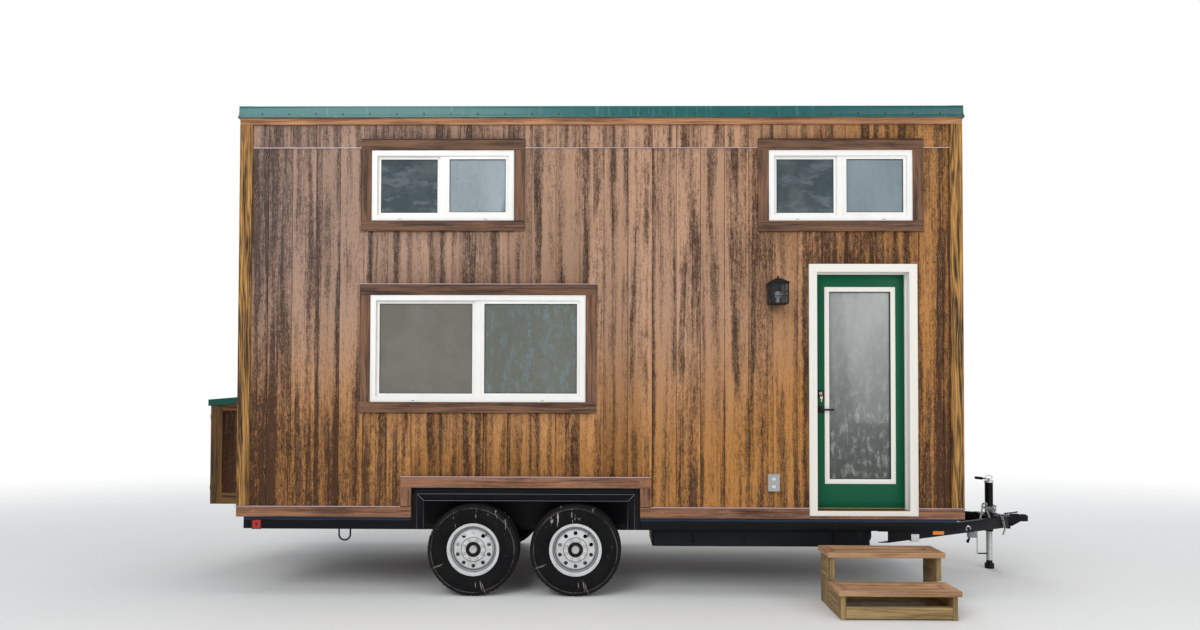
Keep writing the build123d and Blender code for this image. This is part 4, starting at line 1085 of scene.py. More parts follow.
class Assembly:
    """Shared handling of finished pieces."""

    def fit(self, made: Object, finish: Material, body: str = "root",
            nodes: Sequence[str] = (), slot: str = "") -> None:
        """Dresses a piece and gives it to a body.

        Args:
            made: the piece.
            finish: its material.
            body: the body that it rides on.
            nodes: the nodes that it stands for.
            slot: the record's material slot; not used.
        """
        made.data.materials.clear()
        made.data.materials.append(finish)
        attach(made, body)
        if nodes:
            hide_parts(*nodes)
        LOG.info("piece %s: %d faces on %s", made.name, len(made.data.polygons), body)

    def refined(self, node: str, finish: Material, bevel: float = 0.0015,
                body: str = "root", steps: int = 2) -> None:
        """Stands a merged copy of a node, with eased edges, in its place.

        Args:
            node: the node.
            finish: its material.
            bevel: how far its sharp edges are eased.
            body: the body that it rides on.
            steps: facets across an eased edge.
        """
        data = frame["nodes"][node].data.copy()
        data.name = node + "_skin"
        work = merged(data)
        bmesh.ops.dissolve_limit(work, angle_limit=math.radians(0.5), verts=work.verts,
                                 edges=work.edges, delimit=set())
        soften(work, work.edges, bevel, steps, SHARP)
        bmesh.ops.triangulate(work, faces=[f for f in work.faces if len(f.verts) > 4])
        work.to_mesh(data)
        work.free()
        self.fit(placed(node + "_skin", data, SHARP), finish, body, [node])


# Geometry node trees


class Tree(Nodes):
    """One Geometry Nodes tree, run once and turned into a plain mesh."""

    def __init__(self, name: str, **inputs: float | int | Object) -> None:
        """Args:
            name: the tree's name.
            inputs: its named inputs with their values.
        """
        super().__init__(bpy.data.node_groups.new(name, "GeometryNodeTree"))
        self.values = inputs
        self.ids = {}
        face = self.tree.interface
        face.new_socket("Geometry", in_out="INPUT", socket_type="NodeSocketGeometry")
        for key, value in inputs.items():
            kind = {int: "NodeSocketInt", float: "NodeSocketFloat"}.get(type(value), "NodeSocketObject")
            self.ids[key] = face.new_socket(key, in_out="INPUT", socket_type=kind).identifier
        face.new_socket("Geometry", in_out="OUTPUT", socket_type="NodeSocketGeometry")
        self.entry = self.node("NodeGroupInput")
        self.exit = self.node("NodeGroupOutput")

    def named(self, key: str) -> Value:
        """A named input as a value."""
        return Value(self, self.entry.outputs[key])

    def index(self) -> Value:
        """The number of each point, from 0."""
        return Value(self, self.node("GeometryNodeInputIndex").outputs[0])

    def turn(self, axis: Point, angle: object) -> Node:
        """A turn about an axis."""
        return self.node("FunctionNodeAxisAngleToRotation", {"Axis": axis, "Angle": angle})

    def turned(self, rotation: Node, by: Node) -> Node:
        """A rotation turned further about its own axes."""
        return self.node("FunctionNodeRotateRotation", {"Rotation": rotation, "Rotate By": by},
                         rotation_space="LOCAL")

    def stand(self, points: object, template: str, **how: object) -> Node:
        """Stands a template on each point.

        Args:
            points: the points.
            template: the input that names the template.
            how: the Rotation or the Scale of the instances.

        Returns:
            The instances.
        """
        part = self.node("GeometryNodeObjectInfo", {0: template})
        inputs = {"Points": points, "Instance": part.outputs["Geometry"], **how}
        return self.node("GeometryNodeInstanceOnPoints", inputs)

    def run(self, name: str, result: Node, finish: Material, base: Mesh | None = None) -> Object:
        """Ends the tree in Realize Instances and Set Material and makes the plain mesh.

        Args:
            name: the piece's name.
            result: the node that holds the instances.
            finish: the material.
            base: a mesh that feeds the tree.

        Returns:
            The piece at the origin.
        """
        real = self.node("GeometryNodeRealizeInstances", {0: result})
        dressed = self.node("GeometryNodeSetMaterial", {0: real, "Material": finish})
        self.feed(self.exit.inputs[0], dressed)
        carrier = placed(name + "_carrier", base or bpy.data.meshes.new(name + "_carrier"))
        modifier = carrier.modifiers.new(name, "NODES")
        modifier.node_group = self.tree
        for key, value in self.values.items():
            modifier[self.ids[key]] = value
        data = plain_mesh(carrier)
        data.name = name
        carrier.modifiers.remove(modifier)
        discard(carrier)
        return placed(name, data, SHARP)


@dataclass
class Fasteners(Assembly):
    """Screws, nuts and bolts that one tree stands on their spots."""

    seed: int = 5
    sunk: float = -0.001

    def head(self, radius: float, height: float, sides: int = 6, washer: float = 0.0) -> Object:
        """A head that points up, on a washer if it has one.

        Args:
            radius: the head's radius.
            height: how far it stands out.
            sides: its flats.
            washer: the washer's radius, or 0.

        Returns:
            The template.
        """
        form = Form("fastener_head")
        form.turned([(self.sunk, 0), (self.sunk, radius), (height * 0.8, radius), (height, radius * 0.72),
                     (height, 0)], (0, 0, 0), Run.Z, sides)
        if washer:
            form.turned([(self.sunk, 0), (self.sunk, washer), (0.001, washer), (0.0016, washer * 0.8),
                         (0.0016, 0)], (0, 0, 0), Run.Z, 16)
        return form.done(0.5)

    def lay(self, name: str, template: Object, spots: Sequence[Spot],
            finish: Material, body: str = "root") -> None:
        """Stands the template on each spot, turned at random about its own axis.

        Args:
            name: the piece's name.
            template: what is laid; it goes afterwards.
            spots: each place with its facing.
            finish: the material.
            body: the body that the piece rides on.
        """
        base = bpy.data.meshes.new(name + "_spots")
        base.from_pydata([place for place, _ in spots], [], [])
        aims = base.attributes.new("aim", "FLOAT_VECTOR", "POINT")
        for item, (_, aim) in zip(aims.data, spots):
            item.vector = aim
        tree = Tree("Fasteners", Fastener=template, Seed=self.seed, Spin=TURN)
        aim = tree.node("GeometryNodeInputNamedAttribute", data_type="FLOAT_VECTOR")
        aim.inputs["Name"].default_value = "aim"
        spin = tree.node("FunctionNodeRandomValue", {3: "Spin", 8: "Seed"}, data_type="FLOAT")
        facing = tree.node("FunctionNodeEulerToRotation", {0: aim})
        whole = tree.turned(facing, tree.turn((0, 0, 1), spin.outputs[1]))
        laid = tree.stand(tree.entry.outputs["Geometry"], "Fastener", Rotation=whole)
        made = tree.run(name, laid, finish, base)
        discard(template)
        self.fit(made, finish, body)


@dataclass
class Chain(Assembly):
    """Welded chain whose links a tree threads along a path."""

    bar: float = 0.0035
    pitch: float = 0.022
    half: float = 0.0075

    def link(self) -> Object:
        """One link along X, lying flat.

        Returns:
            The template.
        """
        reach = self.pitch / 2 - self.half + self.bar
        bend = [math.pi * (step / 6 - 0.5) for step in range(7)]
        path = [(end * (reach + self.half * math.cos(angle)), end * self.half * math.sin(angle), 0.0)
                for end in (1, -1) for angle in bend]
        form = Form("chain_link")
        form.tube(path, self.bar, 8, True)
        return form.done(0.8)

    def hang(self, name: str, path: Sequence[Point], finish: Material) -> None:
        """Threads links along a path.

        Args:
            name: the piece's name.
            path: the chain's middle line.
            finish: the material.
        """
        base = bpy.data.meshes.new(name + "_path")
        base.from_pydata(path, [(i, i + 1) for i in range(len(path) - 1)], [])
        link = self.link()
        tree = Tree("Chain Links", Link=link, Pitch=self.pitch, Quarter=math.pi / 2)
        curve = tree.node("GeometryNodeMeshToCurve", {0: tree.entry.outputs["Geometry"]})
        even = tree.node("GeometryNodeResampleCurve", {"Curve": curve, "Length": "Pitch"}, mode="LENGTH")
        aim = tree.node("FunctionNodeAlignRotationToVector",
                        {"Vector": tree.node("GeometryNodeInputTangent")}, axis="X")
        turn = tree.turn((1, 0, 0), tree.index().math("MODULO", 2.0) * tree.named("Quarter"))
        made = tree.run(name, tree.stand(even, "Link", Rotation=tree.turned(aim, turn)), finish, base)
        discard(link)
        self.fit(made, finish)


# Sub-assemblies


@dataclass
class Opening:
    """A rectangle cut through a wall, along and up."""

    low: float
    high: float
    bottom: float
    top: float


WELL = Opening(MIDDLE_X - 1.575, MIDDLE_X + 0.346, FRAME_TOP - 1, 0.918)


@dataclass
class Siding(Assembly):
    """Vertical boards on the four walls, each a board of its own with a grooved joint."""

    openings: dict[str, list[Opening]]
    bottom: float = FRAME_TOP
    top: float = ROOF_FRONT
    groove: float = 0.003
    groove_depth: float = 0.005
    edge: float = 0.0015
    play: float = 0.0002
    start: float = 0.02
    slot: str = "siding_wood"

    def board(self) -> Object:
        """One board of unit height, in the XZ plane, its back on y = 0.

        Returns:
            The template.
        """
        form = Form("siding_board")
        half = MODULE / 2 - self.play
        lip = half - self.groove / 2
        sunk = -(SIDING - self.groove_depth)
        form.prism([(-half, 0.0), (half, 0.0), (half, sunk), (lip, sunk), (lip - self.edge, -SIDING),
                    (-lip + self.edge, -SIDING), (-lip, sunk), (-half, sunk)], Run.Z, 0.0, 1.0)
        return form.done()

    def wall(self, name: str, finish: Material, start: Point, turn: float, count: int,
             openings: Sequence[Opening], run: Run, fall: float = 0.0) -> Object:
        """Lays one wall's boards and cuts its openings.

        Args:
            name: the piece's name.
            finish: the siding's material.
            start: the middle of the first board's back, at its foot.
            turn: how far the wall is turned about Z, in radians.
            count: how many boards.
            openings: what is cut out.
            run: the axis the wall follows.
            fall: how much each board is shorter than the one before.

        Returns:
            The wall.
        """
        board = self.board()
        tree = Tree("Vertical Boards", Board=board, Count=count, Module=MODULE,
                    Height=self.top - self.bottom, Fall=fall)
        offset = tree.node("ShaderNodeCombineXYZ", {0: "Module"})
        line = tree.node("GeometryNodeMeshLine", {"Count": "Count", "Offset": offset}, mode="OFFSET")
        height = tree.named("Height") - tree.index() * tree.named("Fall")
        scale = tree.node("ShaderNodeCombineXYZ", {0: 1.0, 1: 1.0, 2: height})
        made = tree.run(name, tree.stand(line, "Board", Scale=scale), finish)
        made.data.transform(Matrix.Translation(start) @ Matrix.Rotation(turn, 4, "Z"))
        blocks = Form("siding_cutter")
        deep = start[1] if run is Run.X else start[0]
        for o in openings:
            blocks.box(on_wall(run, o.low, deep - 0.1, o.bottom), on_wall(run, o.high, deep + 0.1, o.top), 0)
        cutter = blocks.done()
        cut = made.modifiers.new("openings", "BOOLEAN")
        cut.operation = "DIFFERENCE"
        cut.solver = "MANIFOLD"
        cut.object = cutter
        data = plain_mesh(made)
        made.modifiers.remove(cut)
        made.data = data
        discard(board, cutter)
        return made

    def beyond(self, start: float, end: float) -> Opening:
        """A cut that takes off what stands past a wall's end."""
        return Opening(start, end, self.bottom - 1, self.top + 1)

    def build(self) -> None:
        """Sides the four walls."""
        count = math.ceil(2 * HALF_LENGTH / MODULE) + 1
        first = LEFT + self.start + MODULE / 2 - MODULE
        for side, x, y, turn, drop, golden in (
                ("front", first, FRONT + SIDING, 0.0, 0.0, 1.0),
                ("back", first + (count - 1) * MODULE, BACK - SIDING, math.pi, ROOF_FALL, 0.4)):
            self.top = ROOF_FRONT - drop
            finish = StainedSiding("stained_siding_" + side, Run.X, first - MODULE / 2,
                                   golden_end=golden).make()
            past = [self.beyond(LEFT - 0.6, LEFT), self.beyond(RIGHT, RIGHT + 0.6)]
            made = self.wall(side + "_boards", finish, (x, y, self.bottom), turn, count,
                             self.openings[side] + past, Run.X)
            self.fit(made, finish, nodes=["siding_" + side], slot=self.slot)
        self.top = ROOF_FRONT - 0.02
        finish = StainedSiding("stained_siding_ends", Run.Y, FRONT + SIDING, 2 * HALF_WIDTH, 0.3).make()
        count = math.ceil(2 * (HALF_WIDTH - SIDING) / MODULE)
        fall = ROOF_FALL / (2 * HALF_WIDTH) * MODULE
        y = FRONT + SIDING + MODULE / 2
        cuts = self.openings["end"] + [self.beyond(BACK - SIDING, BACK + 0.4)]
        made = self.wall("end_boards_right", finish, (RIGHT - SIDING, y, self.bottom), math.pi / 2, count,
                         cuts, Run.Y, fall)
        self.fit(made, finish, nodes=["siding_ends"], slot=self.slot)
        self.top -= (count - 1) * fall
        made = self.wall("end_boards_left", finish, (LEFT + SIDING, y + (count - 1) * MODULE, self.bottom),
                         -math.pi / 2, count, cuts, Run.Y, -fall)
        self.fit(made, finish, slot=self.slot)


@dataclass
class Window:
    """One sliding window's rough opening."""

    middle: float
    sill: float
    width: float
    height: float

    def opening(self, centre: float = MIDDLE_X) -> Opening:
        """The cut in the wall, with the window's middle measured from the house's."""
        x = centre + self.middle
        return Opening(x - self.width / 2, x + self.width / 2, self.sill, self.sill + self.height)


@dataclass
class Windows(Assembly):
    """All windows: casings, vinyl frames, sashes, panes and screens."""

    front: list[Window]
    back: list[Window]
    end: Window
    screen: float = 0.025
    gasket: float = 0.006
    spline: float = 0.004
    slot: float = 0.014
    slot_low: float = 0.010

    def boards(self, form: Form, window: Window, across: Run, wall: float, out: int) -> None:
        """Lays the four casing boards of one window.

        Args:
            form: the form that takes them.
            window: the window.
            across: the axis that runs across it.
            wall: where the wall's face is.
            out: the sign of the way out.
        """
        o = window.opening(MIDDLE_X if across is Run.X else MIDDLE_Y)
        half = window.width / 2
        middle = (MIDDLE_X if across is Run.X else MIDDLE_Y) + window.middle
        for left, right, low, high in ((-half - CASING, half + CASING, o.top, o.top + CASING),
                                       (-half - CASING, half + CASING, o.bottom - CASING, o.bottom),
                                       (-half - CASING, -half, o.bottom, o.top),
                                       (half, half + CASING, o.bottom, o.top)):
            form.box(on_wall(across, middle + left, wall, low),
                     on_wall(across, middle + right, wall + out * TRIM, high), EASE,
                     across if right - left > window.width else Run.Z)

    def build(self) -> None:
        """Builds the casings and dresses the vinyl, glass and screens."""
        form = Form("casing_boards", 7)
        for wall, out, windows in ((FRONT, -1, self.front), (BACK, 1, self.back)):
            for window in windows:
                self.boards(form, window, Run.X, wall, out)
        for wall, out in ((LEFT, -1), (RIGHT, 1)):
            self.boards(form, self.end, Run.Y, wall, out)
        stain = SawnBoard("casing_stain", linear(120, 85, 62), linear(42, 28, 23), 0.6).make()
        self.fit(form.done(), stain, nodes=["window_casings"], slot="trim_wood")
        vinyl = MouldedPlastic("window_vinyl", (0.86, 0.85, 0.82)).make()
        # The window glass colours are painted reflections: pale blue-grey sky on the upper panes, darker on
        # the lower.
        glass = Glazing("window_glass", linear(124, 142, 150), 0.68, linear(120, 124, 114), 0.64, 2.9).make()
        screen = InsectMesh("insect_screen", linear(64, 78, 82), 0.80).make()
        for node, finish, bevel in (("window_frames", vinyl, 0.002), ("window_sashes", vinyl, 0.0015),
                                    ("window_glass", glass, 0.0), ("insect_screens", screen, 0.0)):
            self.refined(node, finish, bevel)
        self.details(vinyl)

    def outward(self, low: Vector, high: Vector) -> tuple[Run, int, float, Vector, Vector]:
        """How a thin solid stands in the walls.

        Args:
            low: the lowest corner of the solid.
            high: its highest corner.

        Returns:
            The axis across it, the sign of the way out, the place of its outer face, and its lower
            and upper corner, across and up.
        """
        across = Run.X if high.x - low.x > high.y - low.y else Run.Y
        a, deep = across.value, 1 - across.value
        out = -1 if low[deep] < (MIDDLE_Y if deep else MIDDLE_X) else 1
        face = low[deep] if out < 0 else high[deep]
        return across, out, face, Vector((low[a], low.z)), Vector((high[a], high.z))

    def details(self, vinyl: Material) -> None:
        """Adds gaskets, screen frames, splines and weep slots; each weep slot is a thin dark plate of painted
        shade for its hole.

        Args:
            vinyl: the frames' material.
        """
        gaskets, frames = Form("glazing_gaskets"), Form("screen_frames")
        splines, slots = Form("screen_splines"), Form("weep_slots")
        for low, high in solids("window_glass"):
            across, out, face, start, end = self.outward(low, high)
            gaskets.ring(start, end, self.gasket, (face, face + out * 0.003), across)
        step = Vector((self.screen, self.screen))
        for low, high in solids("insect_screens"):
            across, out, face, start, end = self.outward(low, high)
            frames.ring(start, end, self.screen, (face, face + out * 0.008), across, EASE)
            splines.ring(start + step, end - step, self.spline, (face, face + out * 0.004), across)
        # Each weep slot is a thin dark plate on the frame's face, painted shade for the hole.
        for low, high in solids("window_frames"):
            across, out, face, start, end = self.outward(low, high)
            for share in (0.2, 0.8):
                middle = start.x + share * (end.x - start.x)
                slots.box(on_wall(across, middle - self.slot, face - out * 0.001, low.z + self.slot_low),
                          on_wall(across, middle + self.slot, face + out * 0.0004,
                                  low.z + self.slot_low + 0.004), 0.0)
        dark = MouldedPlastic("gasket_rubber", linear(38, 40, 42), 0.6).make()
        for form, finish in ((gaskets, dark), (frames, vinyl), (splines, dark), (slots, dark)):
            self.fit(form.done(), finish)


@dataclass
class TrimBoards(Assembly):
    """Frieze, corner, skirt and wheel-well boards."""

    frieze_low: float = 3.983
    frieze_top: float = 4.056
    skirt_top: float = 0.756
    corner: float = 0.105
    corner_edge: float = 0.0025
    joint: float = 0.005
    sill: float = 0.025
    door: tuple[float, float] = (MIDDLE_X + 1.759, MIDDLE_X + 2.665)
    cabinet: tuple[float, float] = (MIDDLE_Y - 0.67, MIDDLE_Y + 0.09)

    def frieze(self) -> None:
        """Boards under the roof edge on all four sides."""
        form = Form("frieze_run", 11)
        x0, x1 = LEFT - TRIM, RIGHT + TRIM
        low, top = self.frieze_low, self.frieze_top
        form.box((x0, FRONT - TRIM, low), (x1, FRONT, top), EASE, Run.X)
        form.box((x0, BACK, low - ROOF_FALL), (x1, BACK + TRIM, top - ROOF_FALL), EASE, Run.X)
        rake = [(FRONT, low), (BACK, low - ROOF_FALL), (BACK, top - ROOF_FALL), (FRONT, top)]
        form.prism(rake, Run.X, RIGHT, x1, EASE, Run.Y)
        form.prism(rake, Run.X, x0, LEFT, EASE, Run.Y)
        cedar = SawnBoard("frieze_cedar", linear(178, 128, 90), linear(104, 66, 44), 0.6).make()
        self.fit(form.done(), cedar, nodes=["frieze_boards"], slot="trim_wood")

    def corners(self) -> None:
        """Two boards at each corner, the wide one over the narrow one's edge."""
        form = Form("corner_run", 13)
        low = self.skirt_top + self.joint
        slope = ROOF_FALL / 2 / HALF_WIDTH
        for sx, x in ((-1, LEFT), (1, RIGHT)):
            for sy, y in ((-1, FRONT), (1, BACK)):
                top = self.frieze_low - (0 if sy < 0 else ROOF_FALL)
                out = (x + sx * TRIM, y + sy * TRIM)
                form.box((*out, low), (out[0] - sx * self.corner, y, top), self.corner_edge)
                side = top - (self.corner * slope if sy < 0 else 0)
                form.box((out[0], y, low), (x, out[1] - sy * self.corner, side), self.corner_edge)
        cedar = SawnBoard("corner_cedar", linear(176, 128, 66), linear(36, 22, 10), 1.2).make()
        self.fit(form.done(), cedar, nodes=["corner_boards"], slot="trim_wood")

    def skirt(self) -> None:
        """Dark boards along the foot of the walls and round the wheel wells."""
        form = Form("skirt_run", 17)
        x0, x1 = LEFT - TRIM, RIGHT + TRIM
        door0, door1 = self.door
        for y, out, spans in ((FRONT, -1, ((x0, WELL.low), (WELL.high, door0), (door1, x1))),
                              (BACK, 1, ((x0, WELL.low), (WELL.high, x1)))):
            for a, b in spans:
                form.box((a, y, FRAME_TOP), (b, y + out * TRIM, self.skirt_top), EASE, Run.X)
            if y == FRONT:
                form.box((door0, y, FRAME_TOP), (door1, y - TRIM, FRAME_TOP + self.sill), EASE, Run.X)
        for x, past, a, b in ((RIGHT, x1, FRONT, BACK), (x0, LEFT, FRONT, self.cabinet[0]),
                              (x0, LEFT, self.cabinet[1], BACK)):
            form.box((x, a, FRAME_TOP), (past, b, self.skirt_top), EASE, Run.Y)
        stain = SawnBoard("skirt_stain", linear(150, 104, 76), linear(60, 38, 28), 0.6, wear=0.2).make()
        self.fit(form.done(), stain, nodes=["skirt_boards"], slot="skirt_wood")
        form = Form("well_trim_run", 19)
        low = self.skirt_top + self.joint
        for y, out in ((FRONT, -1), (BACK, 1)):
            face = y + out * TRIM
            form.box((WELL.low - CASING, y, WELL.top), (WELL.high + CASING, face, WELL.top + CASING),
                     EASE, Run.X)
            form.box((WELL.low - CASING, y, low), (WELL.low, face, WELL.top), EASE)
            form.box((WELL.high, y, low), (WELL.high + CASING, face, WELL.top), EASE)
        self.fit(form.done(), stain, nodes=["wheel_well_trim"], slot="skirt_wood")

    def build(self) -> None:
        """Builds all trim boards and the drip flashings, dark above the upper windows."""
        self.frieze()
        self.corners()
        self.skirt()
        metal = Enamel("drip_flashing", linear(196, 178, 186), 0.34, 0.3, stripe=3.83,
                       stripe_colour=linear(62, 46, 46)).make()
        self.refined("trim_flashings", metal, 0.0008, steps=1)


@dataclass
class Roof(Assembly):
    """Ribbed sheet, its edge flashing and the screws of both."""

    rib: float = 0.2286
    rib_side: float = 0.043
    sheet: float = 0.003
    out: float = 0.025
    drop: float = 0.040
    margin: float = 0.16
    rows: int = 5
    rake_screws: int = 11
    cabinet_drop: float = 0.012
    cabinet_fall: float = 0.0147

    def surface(self, y: float) -> float:
        """How high the roof stands at a place across the house."""
        return ROOF_FRONT - (y - FRONT) * ROOF_FALL / (2 * HALF_WIDTH)

    def ribs(self) -> list[float]:
        """Where the sheet's ribs stand along the house."""
        count = int(2 * HALF_LENGTH // self.rib)
        return [MIDDLE_X + (k - count / 2) * self.rib for k in range(count + 1)]

    def lip_spots(self) -> list[Spot]:
        """Screws just above the flashing's lip on all four sides.

        Returns:
            Their places.
        """
        spots = []
        for x in (rib + self.rib / 2 for rib in self.ribs()):
            if x < RIGHT + 0.03:
                spots.append(((x, FRONT - self.out, ROOF_FRONT - self.drop), Face.FRONT.value))
                spots.append(((x, BACK + self.out, ROOF_FRONT - ROOF_FALL - self.drop), Face.BACK.value))
        for k in range(self.rake_screws):
            y = FRONT + (k + 0.5) * 2 * HALF_WIDTH / self.rake_screws
            z = self.surface(y) - self.drop
            spots.append(((RIGHT + self.out, y, z), Face.RIGHT.value))
            spots.append(((LEFT - self.out, y, z), Face.LEFT.value))
        return spots

    def sheet_spots(self) -> list[Spot]:
        """Screws beside each rib, in rows down the slope.

        Returns:
            Their places.
        """
        lean = -math.atan(ROOF_FALL / 2 / HALF_WIDTH)
        rows = [FRONT + self.margin + row * (2 * HALF_WIDTH - 2 * self.margin) / (self.rows - 1)
                for row in range(self.rows)]
        return [((x + self.rib_side, y, self.surface(y) + self.sheet), (lean, 0.0, 0.0))
                for x in self.ribs()[1:-1] for y in rows]

    def cabinet_spots(self) -> list[Spot]:
        """Screws on the cabinet roof's front and left edge.

        Returns:
            Their places.
        """
        (x0, y0, z0), (x1, y1, _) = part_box("cabinet_roof")
        z0 += self.cabinet_drop
        spots = [((x0 + (k + 0.5) * (x1 - x0) / 3, y0, z0 + k * self.cabinet_fall), Face.FRONT.value)
                 for k in range(3)]
        return spots + [((x0, y0 + (k + 0.5) * (y1 - y0) / 4, z0), Face.LEFT.value) for k in range(4)]

    def build(self) -> None:
        """Dresses the sheet and the flashing and screws them down."""
        green = RoofPaint("roof_green", LEFT, 2 * HALF_LENGTH).make()
        lid = Enamel("cabinet_green", linear(6, 74, 62), 0.4, shine=0.3).make()
        for node, finish in (("roof_panels", green), ("roof_flashing", green), ("cabinet_roof", lid)):
            self.refined(node, finish, 0.001, steps=1)
        dark = Enamel("roof_screws", linear(18, 52, 50), 0.35, 0.3).make()
        screws = Fasteners()
        for name, radius, washer, spots in (("flashing_screws", 0.0048, 0.0075, self.lip_spots()),
                                            ("sheet_screws", 0.0048, 0.0085, self.sheet_spots()),
                                            ("cabinet_roof_screws", 0.0045, 0.007, self.cabinet_spots())):
            screws.lay(name, screws.head(radius, 0.005, 6, washer), spots, dark)


@dataclass
class Shell(Assembly):
    """What shows of the walls, deck and roof deck from inside."""

    walls: tuple[str, ...] = ("front_wall_left", "front_wall_right", "front_wall_upper", "back_wall",
                              "left_end_wall", "right_end_wall", "roof_deck")

    def build(self) -> None:
        """Dresses the wall cores and the floor in place, in colours darkened as painted shade of the dim
        interior.
        """
        # The lining and floor colours are darker than the wood's own, as painted shade of the interior.
        shaded_lining = Enamel("wall_lining", linear(150, 134, 108), 0.6, peel=0.0006).make()
        floor = Enamel("floor_boards", linear(96, 74, 54), 0.55, peel=0.0006).make()
        for node, finish in [(wall, shaded_lining) for wall in self.walls] + [("floor_deck", floor)]:
            frame["nodes"][node].data.materials.clear()
            frame["nodes"][node].data.materials.append(finish)


@dataclass
class Entrance(Assembly):
    """Door, its frame and hardware."""

    key_length: float = 0.045

    def sweep(self) -> Object:
        """The brass-coloured sweep along the slab's foot.

        Returns:
            The sweep.
        """
        low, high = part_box("door_slab")
        form = Form("door_sweep")
        form.box((low[0] + 0.006, low[1] - 0.004, low[2] + 0.001),
                 (high[0] - 0.006, low[1] + 0.001, low[2] + 0.007), 0.001, Run.X)
        return form.done()

    def key(self) -> Object:
        """The deadbolt's cylinder with a key in it and a second one hanging from the ring.

        Returns:
            The keys.
        """
        low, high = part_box("door_plates")
        x = (low[0] + high[0]) / 2
        y = low[1]
        z = high[2] - (high[0] - low[0]) / 2
        form = Form("door_keys")
        form.turned([(0.004, 0), (0.004, 0.014), (-0.003, 0.014), (-0.005, 0.012), (-0.005, 0)],
                    (x, y, z), Run.Y, 32)
        form.box((x - 0.001, y - 0.012, z - 0.004), (x + 0.001, y - 0.004, z + 0.004), 0.0003)
        bow = [(y - 0.012 - 0.011 * (1 - math.cos(a)), z + 0.012 * math.sin(a)) for a in around(20)]
        form.prism(bow, Run.X, x - 0.0012, x + 0.0012, 0.0004)
        loop = [(x + 0.009 * math.sin(a), y - 0.030, z - 0.008 - 0.009 * (1 - math.cos(a)))
                for a in around(24)]
        form.tube(loop, 0.0009, 8, True)
        top = z - 0.024
        end = top - self.key_length
        blade = [(x - 0.010, top), (x + 0.010, top), (x + 0.012, top - 0.016), (x + 0.004, top - 0.022),
                 (x + 0.004, end), (x, end - 0.004), (x - 0.003, end), (x - 0.004, top - 0.022),
                 (x - 0.012, top - 0.016)]
        form.prism(blade, Run.Y, y - 0.031, y - 0.029, 0.0003)
        return form.done()

    def bead(self) -> Object:
        """The gasket round the lite's glass, on both faces.

        Returns:
            The gasket.
        """
        low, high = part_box("door_glass")
        form = Form("lite_bead")
        for face, out in ((low[1], -1), (high[1], 1)):
            form.ring((low[0], low[2]), (high[0], high[2]), 0.005, (face, face + out * 0.004))
        return form.done()

    def build(self) -> None:
        """Dresses the frame, the slab, the lite and the hardware."""
        white = Enamel("white_frame_paint", linear(232, 228, 220), 0.42, peel=0.0005).make()
        green = Enamel("door_green", linear(0, 86, 57), 0.36, peel=0.0005, shine=0.2).make()
        black = Enamel("matte_black", (0.007, 0.007, 0.008), 0.42, shine=0.2).make()
        # The door glass colours are painted reflections, pale above and darker below.
        glass = Glazing("door_glass", linear(178, 182, 180), 0.70, linear(86, 90, 86), 0.56, 1.8, 0.8).make()
        self.refined("door_frame", white)
        self.refined("door_slab", green, body="door")
        self.refined("door_lite_frame", white, 0.004, "door", 3)
        self.refined("door_glass", glass, 0.0, "door")
        self.refined("door_plates", black, body="door")
        self.refined("door_levers", black, body="lever")
        for made, finish in ((self.sweep(), Enamel("sweep_brass", linear(196, 158, 84), 0.3, 0.6)),
                             (self.key(), ZincCoat("key_nickel", (0.66, 0.62, 0.52), 0.3, 0.2)),
                             (self.bead(), MouldedPlastic("lite_gasket", linear(70, 74, 72), 0.6))):
            self.fit(made, finish.make(), "door")


